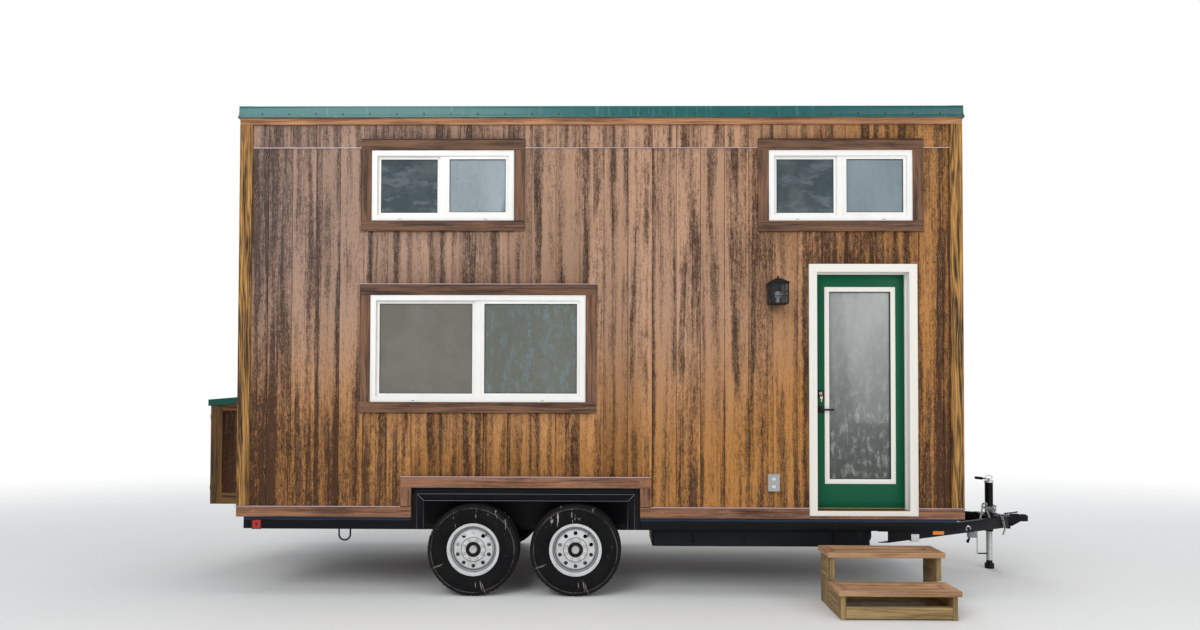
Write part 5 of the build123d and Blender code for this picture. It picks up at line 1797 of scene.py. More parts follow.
@dataclass
class Trailer(Assembly):
    """Chassis, wheel wells, tongue, coupler, jack and lamps."""

    well_opening: Opening = field(default_factory=lambda: Opening(MIDDLE_X - 1.535, MIDDLE_X + 0.306,
                                                                  0.004, 0.870))
    flange: float = 0.062
    sky_band_drop: float = 0.034

    def build(self) -> None:
        """Dresses the chassis."""
        black = Enamel("chassis_enamel", linear(12, 13, 16), 0.34, dust=0.08, shine=0.14,
                       dust_colour=linear(92, 88, 84)).make()
        # The rim rails' top band, above the stripe's height, is painted blue-grey as a reflection of the sky
        # on the rail's upper edge; below it the rail is black.
        sky_banded_black = Enamel("rail_slate", linear(11, 12, 16), 0.4, dust=0.06, shine=0.14,
                       dust_colour=linear(80, 80, 80), stripe=FRAME_TOP - self.sky_band_drop,
                       stripe_colour=linear(42, 60, 84)).make()
        dusty = Enamel("well_enamel", linear(14, 15, 18), 0.42, dust=0.18, shine=0.14,
                       dust_colour=linear(96, 90, 84)).make()
        tank = Enamel("tank_black", (0.014, 0.017, 0.023), 0.4, dust=0.06, shine=0.12,
                      dust_colour=linear(84, 84, 88)).make()
        for node in ("main_rails", "crossmembers", "tongue_beams", "coupler", "tie_down_loops",
                     "wheel_well_frames", "leaf_springs", "axles", "jack_housing"):
            self.refined(node, black)
        self.refined("rim_rails", sky_banded_black)
        self.refined("wheel_wells", dusty, 0.001)
        zinc = ZincCoat("jack_zinc", (0.66, 0.69, 0.66), 0.5, 0.15, 0.075).make()
        self.refined("jack_leg", zinc, 0.002, "jack_leg")
        self.refined("jack_crank", black, 0.001, "jack_crank")
        self.refined("underfloor_tank", tank, 0.004)
        self.lamps()
        self.tank_straps(black)
        self.well_edges()

    def well_edges(self) -> None:
        """Pale bars along the frames round the wheel wells as painted edge highlights, and weld lines at the
        mitres whose pale colour is also a painted highlight.
        """
        low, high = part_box("wheel_well_frames")
        form = Form("well_edges")
        o = self.well_opening
        for face in (low[1], high[1]):
            for inset in (0.006, self.flange):
                corners = ((o.low + inset, low[2] + o.bottom), (o.low + inset, o.top - inset),
                           (o.high - inset, o.top - inset), (o.high - inset, low[2] + o.bottom))
                form.tube([(x, face, z) for x, z in corners], 0.0016, 8)
            for corner, way in ((o.low, 1), (o.high, -1)):
                form.tube([(corner + way * step, face, o.top - step) for step in (0.008, 0.060)], 0.0022, 8)
        # The pale steel colour is a painted highlight along the frame's edges and welds.
        self.fit(form.done(), Enamel("worn_edge", linear(112, 118, 126), 0.4, 0.4).make())

    def lamps(self) -> None:
        """Lenses with black bezels, and a dark plate on each tail lens as painted shade of the bulb well."""
        bezels = Form("lamp_bezels")
        for node, colour, width in (("tail_lights", (0.50, 0.006, 0.005), 0.007),
                                    ("marker_lights", (0.80, 0.22, 0.02), 0.004)):
            name = "red_lens" if node == "tail_lights" else "amber_lens"
            self.refined(node, MouldedPlastic(name, colour, 0.2).make(), 0.004, steps=3)
            edge = Vector((width, width))
            for low, high in solids(node):
                out = -1 if low.y < MIDDLE_Y else 1
                face, inner = (low.y, high.y) if out < 0 else (high.y, low.y)
                bezels.ring(Vector((low.x, low.z)) - edge, Vector((high.x, high.z)) + edge, width,
                            (inner, inner + out * 0.009), Run.X, 0.0015)
                if node == "tail_lights":
                    x, z = (low.x + high.x) / 2, (low.z + high.z) / 2
                    # A thin black plate on the lens, painted shade of the bulb well behind it.
                    bezels.box((x - 0.009, face - 0.0006, z - 0.014), (x + 0.009, face + 0.0006, z + 0.014),
                               0.0)
        self.fit(bezels.done(), MouldedPlastic("bezel_black", (0.012, 0.012, 0.013), 0.35).make())

    def tank_straps(self, finish: Material) -> None:
        """Welded seams and hanger straps round the under-floor tank.

        Args:
            finish: their material.
        """
        low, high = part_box("underfloor_tank")
        form = Form("tank_straps")
        for share, width, proud in ((0.18, 0.030, 0.003), (0.42, 0.006, 0.004), (0.82, 0.030, 0.003)):
            x = low[0] + share * (high[0] - low[0])
            form.box((x, low[1] - proud, low[2] + 0.03), (x + width, low[1] + 0.002, high[2]), 0.001)
            form.box((x, low[1] + 0.03, low[2] - proud), (x + width, high[1] - 0.03, low[2] + 0.002),
                     0.001, Run.Y)
        self.fit(form.done(), finish)


@dataclass
class Hitch(Assembly):
    """What hangs on the tongue: chains, shackle, battery box, drop rod, latches and the jack's rings."""

    lean: float = 0.594
    gap: float = 0.120
    box_back: float = 0.445

    def __post_init__(self) -> None:
        """Takes the tongue's front and the jack's place from the frame."""
        self.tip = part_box("coupler")[0][0]
        low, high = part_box("jack_leg")
        self.jack = ((low[0] + high[0]) / 2, (low[1] + high[1]) / 2)
        self.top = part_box("tongue_beams")[1][2]
        self.box_face = self.outer(self.box_back)

    def outer(self, back: float) -> float:
        """The near beam's outer face, at a place so far behind its front end."""
        return MIDDLE_Y - self.gap - back * self.lean

    def at(self, back: float, out: float, up: float, beam: float | None = None) -> Point:
        """A point beside the near beam.

        Args:
            back: how far behind the tongue's front.
            out: how far in from the beam's outer face.
            up: how far above the beam's top.
            beam: where the beam's face is taken, if not at the point itself.

        Returns:
            The point.
        """
        return self.tip - back, self.outer(back if beam is None else beam) + out, self.top + up

    def chains(self, finish: Material) -> None:
        """A chain round the jack's foot and over the near beam, and one looped back on the beam.

        Args:
            finish: their material.
        """
        chain = Chain()
        x, y = self.jack
        wound = []
        for step in range(26):
            angle = -2.4 + step * 0.42
            radius = 0.056 + 0.010 * math.sin(step * 1.3)
            wound.append((x + radius * math.cos(angle), y + radius * math.sin(angle),
                          self.top + 0.040 + 0.0022 * step + 0.006 * math.sin(step * 2.1)))
        chain.hang("chain_wound", wound, finish)
        chain.hang("chain_over_beam",
                   [(x - 0.02, y - 0.062, self.top + 0.062), self.at(0.115, 0.040, 0.030),
                    self.at(0.090, 0.004, 0.012), self.at(0.078, -0.014, -0.020),
                    self.at(0.064, -0.015, -0.080), self.at(0.056, -0.015, -0.115),
                    self.at(0.068, -0.012, -0.152, 0.056)], finish)
        chain.hang("chain_loop",
                   [self.at(0.345, 0.030, 0.010), self.at(0.300, 0.075, 0.060),
                    (self.tip - 0.225, y - 0.070, self.top + 0.118), (x - 0.050, y - 0.046, self.top + 0.120),
                    (self.tip - 0.190, y - 0.085, self.top + 0.060), self.at(0.220, 0.045, 0.012)], finish)

    def shackle(self) -> Object:
        """The pale hook on the near beam's face with its pin.

        Returns:
            The hook.
        """
        form = Form("shackle")
        x, y, _ = self.at(0.520, -0.010, 0.0)
        hook = [(x + 0.020 * math.cos(a), y, self.top - 0.060 + 0.020 * math.sin(a))
                for a in (math.radians(230 - k * 22) for k in range(13))]
        form.tube(hook, 0.0045, 10)
        form.tube([(x - 0.062, y + 0.004, self.top - 0.074), (x - 0.030, y, self.top - 0.080),
                   (x - 0.014, y, self.top - 0.075)], 0.004, 10)
        form.disc(-0.004, 0.014, 0.009, (x, y, self.top - 0.040))
        return form.done()

    def battery_box(self) -> Object:
        """The breakaway battery's grey case under the beam, with its lid and bracket.

        Returns:
            The case.
        """
        form = Form("battery_box")
        x0 = self.tip - 0.485
        x1 = self.tip - 0.407
        y0 = self.box_face + 0.012
        high = self.top - 0.096
        form.box((x0, y0, high - 0.064), (x1, y0 + 0.052, high - 0.012), 0.004, steps=2)
        form.box((x0 - 0.003, y0 - 0.003, high - 0.016), (x1 + 0.003, y0 + 0.055, high), 0.003, steps=2)
        form.box((x0 - 0.024, y0 + 0.008, high - 0.002), (x1 - 0.01, y0 + 0.044, high + 0.004), 0.001)
        for k in range(3):
            x = x0 + 0.02 + k * 0.019
            form.box((x, y0 - 0.0016, high - 0.058), (x + 0.005, y0 + 0.001, high - 0.022), 0.0006)
        return form.done()

    def rod(self) -> Object:
        """A bent steel rod that hangs from the battery box's side.

        Returns:
            The rod.
        """
        form = Form("drop_rod")
        x = self.tip - 0.400
        y = self.box_face + 0.030
        z = self.top - 0.120
        bend = [(x - 0.012 + 0.012 * math.sin(a), y, z - 0.012 + 0.012 * math.cos(a))
                for a in around(24)[:7]]
        form.tube([(x - 0.030, y, z)] + bend + [(x, y, z - 0.190)], 0.0065, 12)
        return form.done()

    def small_black(self) -> Object:
        """Coupler latch and its catch, the plug under the battery box and the beam's end caps.

        Returns:
            The small parts.
        """
        form = Form("hitch_black")
        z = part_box("coupler")[1][2]
        lever = [(0.020, -0.004), (0.060, 0.004), (0.128, 0.010), (0.150, 0.018), (0.146, 0.023),
                 (0.112, 0.016), (0.050, 0.010), (0.016, 0.004)]
        form.prism([(self.tip + along, z + up) for along, up in lever], Run.Y, MIDDLE_Y - 0.016,
                   MIDDLE_Y + 0.016, 0.001)
        form.disc(-0.024, 0.024, 0.006, (self.tip + 0.040, MIDDLE_Y, z + 0.004))
        low = self.top - 0.102
        form.box((self.tip + 0.034, MIDDLE_Y - 0.020, low - 0.030),
                 (self.tip + 0.070, MIDDLE_Y + 0.020, low + 0.004), 0.004, steps=2)
        plug = form.turned([(-0.040, 0), (-0.040, 0.011), (-0.036, 0.013), (-0.012, 0.013),
                            (-0.008, 0.010), (0.014, 0.008), (0.014, 0)], (0, 0, 0), Run.Z, 20)
        tilt = Matrix.Translation((self.tip - 0.477, self.box_face + 0.034, self.top - 0.172))
        tilt = tilt @ Matrix.Rotation(math.radians(24), 4, "Y")
        form.box((self.tip - 0.404, self.box_face + 0.026, self.top - 0.314),
                 (self.jack[0] - 0.175, self.box_face + 0.034, self.top - 0.302), EASE)
        for vert in plug:
            vert.co = tilt @ vert.co
        return form.done()

    def jack_rings(self, zinc: Material) -> None:
        """The galvanised cap of the jack's tube, and the loop that turns with its crank.

        Args:
            zinc: their material.
        """
        x, y = self.jack
        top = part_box("jack_housing")[1][2]
        form = Form("jack_cap")
        form.turned([(-0.016, 0.0385), (-0.016, 0.0435), (0.0008, 0.0435), (0.0022, 0.041), (0.0022, 0.012),
                     (0.0008, 0.0105), (-0.004, 0.0105), (-0.004, 0.0385)], (x, y, top), Run.Z)
        self.fit(form.done(), zinc)
        form = Form("crank_loop")
        form.tube([(x + 0.033 * math.cos(a), y, top + 0.032 + 0.019 * math.sin(a)) for a in around(32)],
                  0.0055, 10, True)
        self.fit(form.done(), zinc, "jack_crank")

    def bracket(self) -> Object:
        """The angle bracket on the rim rail under the right corner.

        Returns:
            The bracket.
        """
        form = Form("rail_bracket")
        x = MIDDLE_X + 2.648
        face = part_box("rim_rails")[0][1]
        form.box((x - 0.033, face + 0.004, 0.477), (x + 0.033, face + 0.010, 0.540), 0.0015)
        form.box((x - 0.033, face + 0.010, 0.477), (x + 0.033, face + 0.060, 0.484), 0.0015)
        return form.done()

    def build(self) -> None:
        """Hangs everything on the tongue."""
        zinc = ZincCoat("hitch_zinc", (0.74, 0.75, 0.76), 0.36, 0.15).make()
        self.chains(ZincCoat("chain_steel", (0.44, 0.45, 0.43), 0.42, 0.7).make())
        self.fit(self.shackle(), zinc)
        self.fit(self.battery_box(), MouldedPlastic("battery_case", linear(138, 142, 144), 0.4).make())
        self.fit(self.rod(), zinc)
        self.fit(self.small_black(), Enamel("hitch_enamel", (0.006, 0.006, 0.007), 0.35, shine=0.14).make())
        self.jack_rings(zinc)
        self.fit(self.bracket(), zinc)


@dataclass(frozen=True)
class Wheel:
    """One wheel: the end of its names, its middle and the sign of the way out."""

    tag: str
    centre: Point
    out: int


@dataclass
class Wheels(Assembly):
    """Four wheels with their tyres, tread lugs, sidewall rings, nuts and valves."""

    middles: tuple[float, float] = (-1.063, -0.197)
    radius: float = 0.388
    half: float = 0.1175
    inset: float = 0.020
    studs: float = 0.08255
    stud_count: int = 8
    hub: float = 0.0705
    lugs: int = 54
    rings: tuple[float, ...] = (0.243, 0.262, 0.338, 0.351)
    foot: tuple[float, float] = (0.0897, 0.227)

    def sidewall(self, radius: float) -> float:
        """How far the sidewall stands out, on the arc through its edge, bulge and foot.

        Args:
            radius: how far from the axle.

        Returns:
            How far from the tyre's middle.
        """
        ax, ay = 0.93 * self.half, self.radius - 0.024
        bx, by = self.half, self.radius - 0.084
        cx, cy = self.foot
        a, b, c = ax * ax + ay * ay, bx * bx + by * by, cx * cx + cy * cy
        d = 2 * (ax * (by - cy) + bx * (cy - ay) + cx * (ay - by))
        ux = (a * (by - cy) + b * (cy - ay) + c * (ay - by)) / d
        uy = (a * (cx - bx) + b * (ax - cx) + c * (bx - ax)) / d
        reach = math.hypot(ax - ux, ay - uy)
        return ux + math.sqrt(max(reach * reach - (radius - uy) ** 2, 0.0))

    def lug(self) -> Object:
        """Two shoulder blocks at the top of a wheel, one on each side.

        Returns:
            The template.
        """
        form = Form("shoulder_lug")
        section = [(0.086, 0.3826), (0.0915, 0.3848), (0.1120, 0.3662), (0.1150, 0.3540), (0.1120, 0.3500),
                   (0.1050, 0.3560), (0.0880, 0.3740)]
        for side in (-1, 1):
            form.prism([(side * across, r) for across, r in section], Run.X, -0.0125, 0.0125, 0.0012)
        return form.done()

    def tread(self, wheel: Wheel, finish: Material) -> Object:
        """The shoulder blocks round one tyre.

        Args:
            wheel: the wheel.
            finish: their material.

        Returns:
            The blocks.
        """
        lug = self.lug()
        tree = Tree("Tread Lugs", Lug=lug, Count=self.lugs, Step=TURN / self.lugs)
        line = tree.node("GeometryNodeMeshLine", {"Count": "Count", "Offset": (0, 0, 0)}, mode="OFFSET")
        turn = tree.turn((0, 1, 0), tree.index() * tree.named("Step"))
        made = tree.run("lugs_" + wheel.tag, tree.stand(line, "Lug", Rotation=turn), finish)
        made.data.transform(Matrix.Translation(wheel.centre))
        discard(lug)
        return made

    def trim(self, wheel: Wheel) -> Object:
        """The moulded rings on the outer sidewall.

        Args:
            wheel: the wheel.

        Returns:
            The rings.
        """
        form = Form("rings_" + wheel.tag)
        for radius in self.rings:
            low, high = self.sidewall(radius) - 0.002, self.sidewall(radius) + 0.0012
            section = ((low, -0.0022), (high, -0.0012), (high, 0.0012), (low, 0.0022))
            form.turned([(wheel.out * across, radius + up) for across, up in section], wheel.centre,
                        Run.Y, 96)
        return form.done()

    def valve(self, wheel: Wheel) -> Object:
        """The valve stem with its cap.

        Args:
            wheel: the wheel.

        Returns:
            The stem.
        """
        form = Form("valve_" + wheel.tag)
        x, y, z = wheel.centre
        out = wheel.out
        form.tube([(x + 0.110, y + out * 0.040, z + 0.128), (x + 0.108, y + out * 0.060, z + 0.124),
                   (x + 0.104, y + out * 0.080, z + 0.119)], 0.0042, 12)
        form.tube([(x + 0.1045, y + out * 0.078, z + 0.1195), (x + 0.102, y + out * 0.090, z + 0.116)],
                  0.0052, 12)
        return form.done()

    def nuts(self, wheel: Wheel, finish: Material) -> None:
        """Sets the nuts round the hub.

        Args:
            wheel: the wheel.
            finish: their material.
        """
        x, y, z = wheel.centre
        aim = Face.FRONT.value if wheel.out < 0 else Face.BACK.value
        angles = [TURN * (k + 0.5) / self.stud_count for k in range(self.stud_count)]
        spots = [((x + self.studs * math.sin(angle), y + wheel.out * self.hub,
                   z + self.studs * math.cos(angle)), aim) for angle in angles]
        nuts = Fasteners()
        nuts.lay("nuts_" + wheel.tag, nuts.head(0.0125, 0.0145, 6, 0.0145), spots, finish,
                 "wheel_" + wheel.tag)

    def build(self) -> None:
        """Dresses each wheel on its own body."""
        zinc = ZincCoat("nut_zinc", (0.42, 0.42, 0.42), 0.4, 0.6).make()
        black = MouldedPlastic("valve_rubber", (0.012, 0.012, 0.012), 0.5).make()
        depth = HALF_WIDTH - self.inset - self.half
        for side, middle in zip(("left", "right"), self.middles):
            x = MIDDLE_X + middle
            rubber = RoadRubber("tyre_rubber_" + side, (x, self.radius)).make()
            white = WheelPaint("wheel_white_" + side, (x, self.radius)).make()
            for face, out in (("front", -1), ("back", 1)):
                wheel = Wheel(f"{face}_{side}", (x, MIDDLE_Y + out * depth, self.radius), out)
                body = "wheel_" + wheel.tag
                self.refined("tyre_" + wheel.tag, rubber, 0.0, body)
                self.refined("rim_" + wheel.tag, white, 0.001, body)
                self.fit(self.tread(wheel, rubber), rubber, body)
                self.fit(self.trim(wheel), rubber, body)
                self.fit(self.valve(wheel), black, body)
                self.nuts(wheel, zinc)


@dataclass
class Fittings(Assembly):
    """Lantern, receptacle and cabinet."""

    stile: float = 0.100
    proud: float = 0.007
    height: float = 0.950

    def bulb(self) -> Object:
        """The lantern's lamp on its holder.

        Returns:
            The bulb.
        """
        low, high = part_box("lantern_glass")
        form = Form("lantern_bulb")
        centre = ((low[0] + high[0]) / 2, (low[1] + high[1]) / 2, low[2])
        form.turned([(0.0, 0), (0.0, 0.017), (0.028, 0.017), (0.032, 0.014), (0.036, 0.014), (0.052, 0.026),
                     (0.070, 0.031), (0.088, 0.027), (0.100, 0.016), (0.104, 0)], centre, Run.Z, 32)
        return form.done(1.0)

    def receptacles(self) -> tuple[Object, Object]:
        """The two socket faces and their slots, each slot a dark plate of painted shade for the hole.

        Returns:
            The faces and the slots.
        """
        low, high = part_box("outdoor_outlet")
        x = (low[0] + high[0]) / 2
        floor = low[1] + 0.009
        faces, slots = Form("socket_faces"), Form("socket_slots")
        for share in (0.28, 0.72):
            z = low[2] + share * 0.144
            faces.box((x - 0.0145, floor - 0.0018, z - 0.0125), (x + 0.0145, floor + 0.001, z + 0.0125),
                      0.0012)
            # Each slot and the round ground hole is a thin dark plate on the face, painted shade for the
            # hole.
            for side, tall in ((-1, 0.0045), (1, 0.0035)):
                slots.box((x + side * 0.0065 - 0.0012, floor - 0.0022, z - tall + 0.003),
                          (x + side * 0.0065 + 0.0012, floor - 0.001, z + tall + 0.003), 0.0)
            slots.disc(-0.0004, 0.001, 0.0026, (x, floor - 0.0018, z - 0.0065), 16)
        return faces.done(), slots.done()

    def cabinet(self) -> Object:
        """Stiles and rails laid on the cabinet's three faces.

        Returns:
            The boards.
        """
        (x0, y0, z0), (x1, y1, _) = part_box("utility_cabinet")
        z1 = z0 + self.height
        w = self.stile
        left = x0 - self.proud
        form = Form("cabinet_boards", 23)
        for face, edge in ((y0, y0 - self.proud), (y1, y1 + self.proud)):
            form.box((left, face, z0), (x0 + w, edge, z1))
            form.box((x1 - w, face, z0 + w), (x1, edge, z1))
            form.box((x0 + w, face, z0), (x1, edge, z0 + w), run=Run.X)
            form.box((x0 + w, face, z1 - w), (x1 - w, edge, z1), run=Run.X)
        middle = (y0 + y1) / 2
        for a, b in ((y0, y0 + w), (middle - 0.020, middle - 0.001), (middle + 0.001, middle + 0.020),
                     (y1 - w, y1)):
            form.box((left, a, z0), (x0, b, z1))
        for a, b in ((y0 + w, middle - 0.020), (middle + 0.020, y1 - w)):
            form.box((left, a, z0), (x0, b, z0 + w), run=Run.Y)
            form.box((left, a, z1 - w), (x0, b, z1), run=Run.Y)
        return form.done()

    def hinges(self) -> Object:
        """Strap hinges and the hasp on the cabinet's doors.

        Returns:
            The hinges.
        """
        low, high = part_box("utility_cabinet")
        x = low[0] - self.proud
        form = Form("cabinet_hinges")
        for out, y in ((1, low[1]), (-1, high[1])):
            for z in (low[2] + 0.15, low[2] + 0.79):
                form.box((x - 0.002, y + out * 0.006, z - 0.016), (x, y + out * 0.085, z + 0.016), 0.0006)
                form.tube([(x - 0.003, y + out * 0.004, z + up) for up in (-0.022, 0.022)], 0.004, 12)
        middle = (low[1] + high[1]) / 2
        form.box((x - 0.003, middle - 0.030, low[2] + 0.48), (x, middle + 0.018, low[2] + 0.51), 0.0008)
        form.tube([(x - 0.012, middle + 0.008, low[2] + 0.487), (x - 0.014, middle + 0.008, low[2] + 0.495),
                   (x - 0.012, middle + 0.008, low[2] + 0.503)], 0.003, 10)
        return form.done()

    def build(self) -> None:
        """Dresses the small things on and beside the walls."""
        black = Enamel("lantern_black", (0.007, 0.007, 0.008), 0.42, shine=0.2).make()
        self.refined("lantern", black, 0.001)
        # The lantern glass takes a blue-grey painted reflection.
        self.refined("lantern_glass", Glazing("lantern_glass", linear(58, 68, 76), 0.30).make(), 0.0)
        self.fit(self.bulb(), MouldedPlastic("bulb_opal", (0.74, 0.73, 0.68), 0.25).make())
        cover = MouldedPlastic("outlet_cover", linear(162, 162, 160), 0.3).make()
        self.refined("outdoor_outlet", cover, 0.002)
        faces, slots = self.receptacles()
        self.fit(faces, MouldedPlastic("socket_white", (0.78, 0.78, 0.76), 0.35).make())
        self.fit(slots, black)
        self.refined("utility_cabinet", StainedSiding("cabinet_stain", Run.X, LEFT - 0.6).make(), 0.0)
        boards = SawnBoard("cabinet_board_stain", linear(116, 80, 36), linear(42, 27, 14), 0.8).make()
        self.fit(self.cabinet(), boards)
        self.fit(self.hinges(), black)
        low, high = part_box("lantern")
        spots = [((low[0] + 0.089 + sx * 0.040, high[1] - 0.008, low[2] + dz), Face.FRONT.value)
                 for sx in (-1, 1) for dz in (0.030, 0.195)]
        screws = Fasteners()
        screws.lay("lantern_screws", screws.head(0.0035, 0.003, 12), spots, black)


@dataclass
class Steps(Assembly):
    """Two picture-framed treads on posts, panels and a rail."""

    rise: float = 0.227
    depth: float = 0.322
    thickness: float = 0.042
    border: float = 0.089
    recess: float = 0.014
    overhang: float = 0.025
    board: float = 0.038
    setback: float = 0.3
    play: float = 0.0012
    eased: float = 0.0025

    def tread(self, form: Form, x0: float, x1: float, y0: float, top: float) -> None:
        """Lays one tread's mitred border with the sunk boards between.

        Args:
            form: the form that takes it.
            x0: its left edge.
            x1: its right edge.
            y0: its front edge.
            top: its upper face.
        """
        z0 = top - self.thickness
        b = self.border
        play = self.play
        for y, way in ((y0, 1), (y0 + self.depth, -1)):
            form.prism([(x0 + play, y), (x1 - play, y), (x1 - b - play, y + way * b),
                        (x0 + b + play, y + way * b)], Run.Z, z0, top, 0.003, Run.X)
        y1 = y0 + self.depth
        for x, way in ((x0, 1), (x1, -1)):
            form.prism([(x, y0 + play), (x + way * b, y0 + b + play), (x + way * b, y1 - b - play),
                        (x, y1 - play)], Run.Z, z0, top, 0.003, Run.Y)
        inner = (self.depth - 2 * b - 0.008) / 2
        for k in range(2):
            start = y0 + b + 0.003 + k * (inner + 0.002)
            form.box((x0 + b, start, z0), (x1 - b, start + inner, top - self.recess), EASE, Run.X)

    def screws(self, x0: float, x1: float, y0: float, top: float) -> list[Spot]:
        """Screw heads along one tread's border.

        Args:
            x0: its left edge.
            x1: its right edge.
            y0: its front edge.
            top: its upper face.

        Returns:
            Their places.
        """
        return [((x, y, top), Face.TOP.value)
                for x in (x0 + 0.035, x0 + 0.070, x1 - 0.070, x1 - 0.035)
                for y in (y0 + 0.022, y0 + 0.066, y0 + self.depth - 0.066, y0 + self.depth - 0.022)]

    def sides(self, form: Form, x0: float, x1: float, front: float) -> None:
        """Builds the posts, side boards and rails under the treads.

        Args:
            form: the form that takes them.
            x0: the frame's left face.
            x1: its right face.
            front: the lower tread's front edge.
        """
        near = front + self.overhang
        upper = near + self.depth
        back = front + 2 * self.depth
        low_top = self.rise - self.thickness
        up_top = 2 * self.rise - self.thickness
        inner = front + self.depth + self.depth * self.setback
        post, past = CASING, CASING + 0.001
        for left in (x0, x1 - self.board):
            right = left + self.board
            half = low_top / 2
            for y0, z0, y1, z1, run in (
                    (near, 0, near + post, low_top, Run.Z), (near + past, 0, inner, half - 0.0015, Run.Y),
                    (near + past, half + 0.0015, inner, low_top, Run.Y),
                    (inner + 0.001, 0, back, self.rise - 0.001, Run.Z),
                    (upper, self.rise, upper + post, up_top, Run.Z),
                    (upper + past, self.rise, back, up_top, Run.Y)):
                form.box((left, y0, z0), (right, y1, z1), self.eased, run)
        for y, low, high in ((near, 0.012, 0.101), (inner, 0.040, low_top)):
            form.box((x0 + self.board, y, low), (x1 - self.board, y + self.board, high), self.eased, Run.X)

    def build(self) -> None:
        """Lays the treads and frames them."""
        low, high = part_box("step_treads")
        lumber = SawnBoard("step_lumber", linear(184, 145, 110), linear(124, 90, 60), 0.7, wear=0.06).make()
        treated = SawnBoard("step_treated", linear(158, 134, 92), linear(102, 80, 48), 0.8, wear=0.08).make()
        treads = Form("tread_boards", 29)
        spots = []
        for start, top in ((low[1] + self.depth, 2 * self.rise), (low[1], self.rise)):
            self.tread(treads, low[0], high[0], start, top)
            spots += self.screws(low[0], high[0], start, top)
        self.fit(treads.done(), lumber, nodes=["step_treads"])
        boards = Form("step_boards", 31)
        self.sides(boards, low[0] + self.overhang, high[0] - self.overhang, low[1])
        self.fit(boards.done(), treated, nodes=["step_frame"])
        screws = Fasteners()
        screws.lay("tread_screws", screws.head(0.0042, 0.0006, 12), spots,
                   ZincCoat("deck_screws", (0.30, 0.29, 0.27), 0.5, 0.6).make())


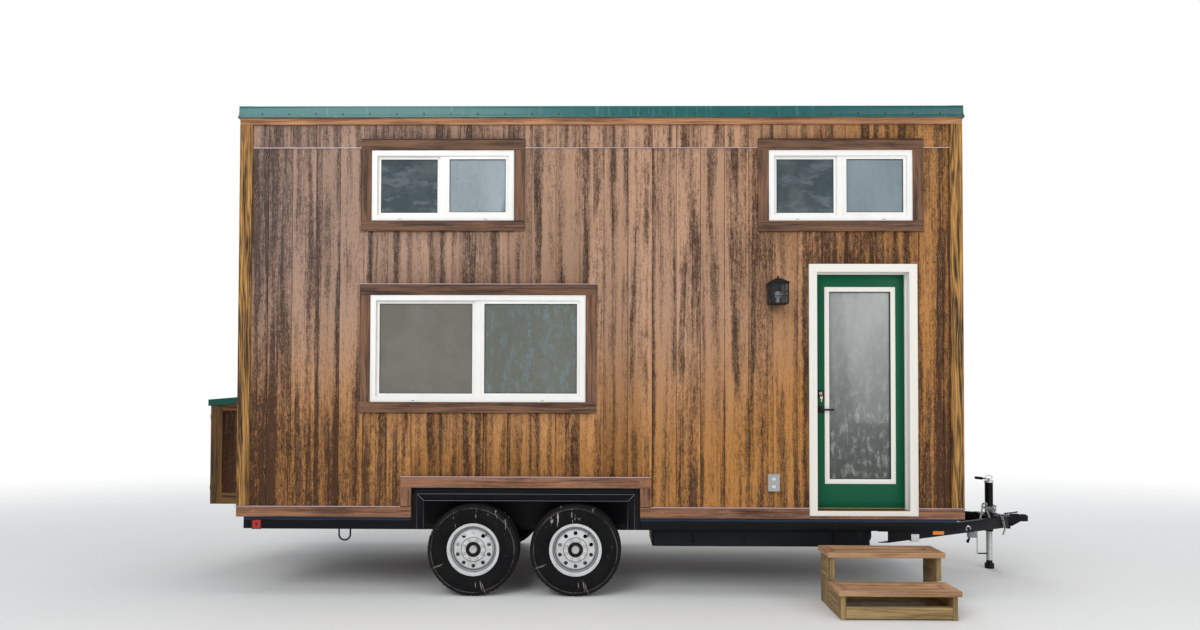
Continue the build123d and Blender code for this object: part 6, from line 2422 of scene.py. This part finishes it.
@dataclass
class Studio:
    """Floor, backdrop, lights and the camera."""

    eye: Point = (MIDDLE_X + 0.085, -8.1009, 1.767)
    pixels: float = 850.0
    picture: float = 1200.0
    rise: float = 368.7 - 315.0
    pitch: float = 1.22
    yaw: float = 0.62
    roll: float = 0.13
    size: float = 90.0

    def floor(self) -> None:
        """A wide pale floor that shows white to the camera far out."""
        data = bpy.data.meshes.new("studio_floor")
        size = self.size
        data.from_pydata([(-size, -size, 0), (size, -size, 0), (size, size, 0), (-size, size, 0)], [],
                         [(0, 1, 2, 3)])
        made = placed("studio_floor", data)
        s = Shader("floor_paper", Roughness=0.85, Specular_IOR_Level=0.2)
        fine = s.noise(s.place(), 8.0, 3.0)
        s.set(Base_Color=s.mix(fine, (0.80, 0.80, 0.79), (0.84, 0.84, 0.83)))
        x, y, _ = s.split(s.place())
        far = ((x * x * 0.45 + y * y) ** 0.5).ramp(3.0, 11.0)
        path = s.node("ShaderNodeLightPath")
        seen = Value(s, path.outputs["Is Camera Ray"]).most(Value(s, path.outputs["Is Glossy Ray"]))
        glow = s.node("ShaderNodeEmission", {"Color": (1.0, 1.0, 1.0), "Strength": 1.0})
        both = s.node("ShaderNodeMixShader", {0: far * seen, 1: s.surface, 2: glow})
        s.feed(s.out.inputs["Surface"], both)
        data.materials.append(s.material)

    def world(self) -> None:
        """Soft even light; the camera, mirrors and glass see white."""
        world = bpy.data.worlds.new("studio")
        bpy.context.scene.world = world
        world.use_nodes = True
        soft = Nodes(world.node_tree)
        path = soft.node("ShaderNodeLightPath")
        through = Value(soft, path.outputs["Is Transmission Ray"])
        white = Value(soft, path.outputs["Is Camera Ray"]).most(through)
        light = soft.node("ShaderNodeBackground", {0: (0.92, 0.96, 1.0), 1: 0.50})
        seen = soft.node("ShaderNodeBackground", {0: (1.0, 1.0, 1.0), 1: 1.0})
        both = soft.node("ShaderNodeMixShader", {0: white, 1: light, 2: seen})
        soft.node("ShaderNodeOutputWorld", {0: both})

    def lamp(self, name: str, place: Point, aim: Point, size: float, watts: float) -> None:
        """One square area lamp.

        Args:
            name: its name.
            place: where it hangs.
            aim: the point it faces.
            size: its side.
            watts: its power.
        """
        data = bpy.data.lights.new(name, "AREA")
        data.size = size
        data.energy = watts
        made = placed(name, data)
        made.location = place
        made.rotation_mode = "QUATERNION"
        made.rotation_quaternion = (Vector(aim) - Vector(place)).to_track_quat("-Z", "Y")

    def camera(self) -> None:
        """Sets the camera where the photographer stood."""
        yaw, pitch, roll = (math.radians(angle) for angle in (self.yaw, self.pitch, self.roll))
        forward = Vector((-math.sin(yaw) * math.cos(pitch), math.cos(yaw) * math.cos(pitch), math.sin(pitch)))
        right = forward.cross(Vector((0, 0, 1))).normalized()
        up = right.cross(forward)
        side = right * math.cos(roll) + up * math.sin(roll)
        data = bpy.data.cameras.new("camera")
        data.sensor_width = 36.0
        data.lens = self.pixels / self.picture * data.sensor_width
        data.shift_y = self.rise / self.picture
        made = placed("camera", data)
        turn = Matrix((side, side.cross(forward), -forward)).transposed()
        made.matrix_world = Matrix.Translation(self.eye) @ turn.to_4x4()
        bpy.context.scene.camera = made

    def build(self) -> None:
        """Sets the stage."""
        bpy.context.scene.view_settings.view_transform = "Standard"
        self.floor()
        self.world()
        self.lamp("key", (-4.5, -9.0, 7.5), (0.0, -0.9, 2.0), 6.0, 500.0)
        self.lamp("fill", (6.5, -8.0, 4.0), (0.5, -0.9, 2.0), 6.0, 205.0)
        self.lamp("top", (0.0, 0.0, 9.5), (0.0, 0.0, 0.0), 8.0, 340.0)
        self.lamp("rear", (3.0, 9.0, 6.0), (0.0, 1.0, 2.0), 6.0, 300.0)
        self.camera()


def main() -> None:
    """Builds every sub-assembly in order."""
    logging.basicConfig(level=logging.INFO, format="%(message)s")
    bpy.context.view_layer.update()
    front = [Window(-1.324, 3.168, 1.206, 0.597), Window(2.028, 3.168, 1.206, 0.597),
             Window(-1.022, 1.636, 1.816, 0.902)]
    back = [Window(-1.324, 3.040, 1.206, 0.597), Window(2.028, 3.040, 1.206, 0.597),
            Window(-1.670, 1.726, 0.445, 0.597), Window(-0.810, 1.790, 0.597, 0.445)]
    end = Window(0.0, 3.040, 1.206, 0.597)
    doorway = Opening(MIDDLE_X + 1.807, MIDDLE_X + 2.617, 0.735, 2.755)
    cuts = {"front": [w.opening() for w in front] + [WELL, doorway],
            "back": [w.opening() for w in back] + [WELL], "end": [end.opening(MIDDLE_Y)]}
    for part in (Siding(cuts), Windows(front, back, end), TrimBoards(), Roof(), Shell(), Entrance(),
                 Trailer(), Hitch(), Wheels(), Fittings(), Steps()):
        part.build()
        LOG.info("built %s", type(part).__name__)
    Studio().build()


if __name__ == "__main__":
    main()
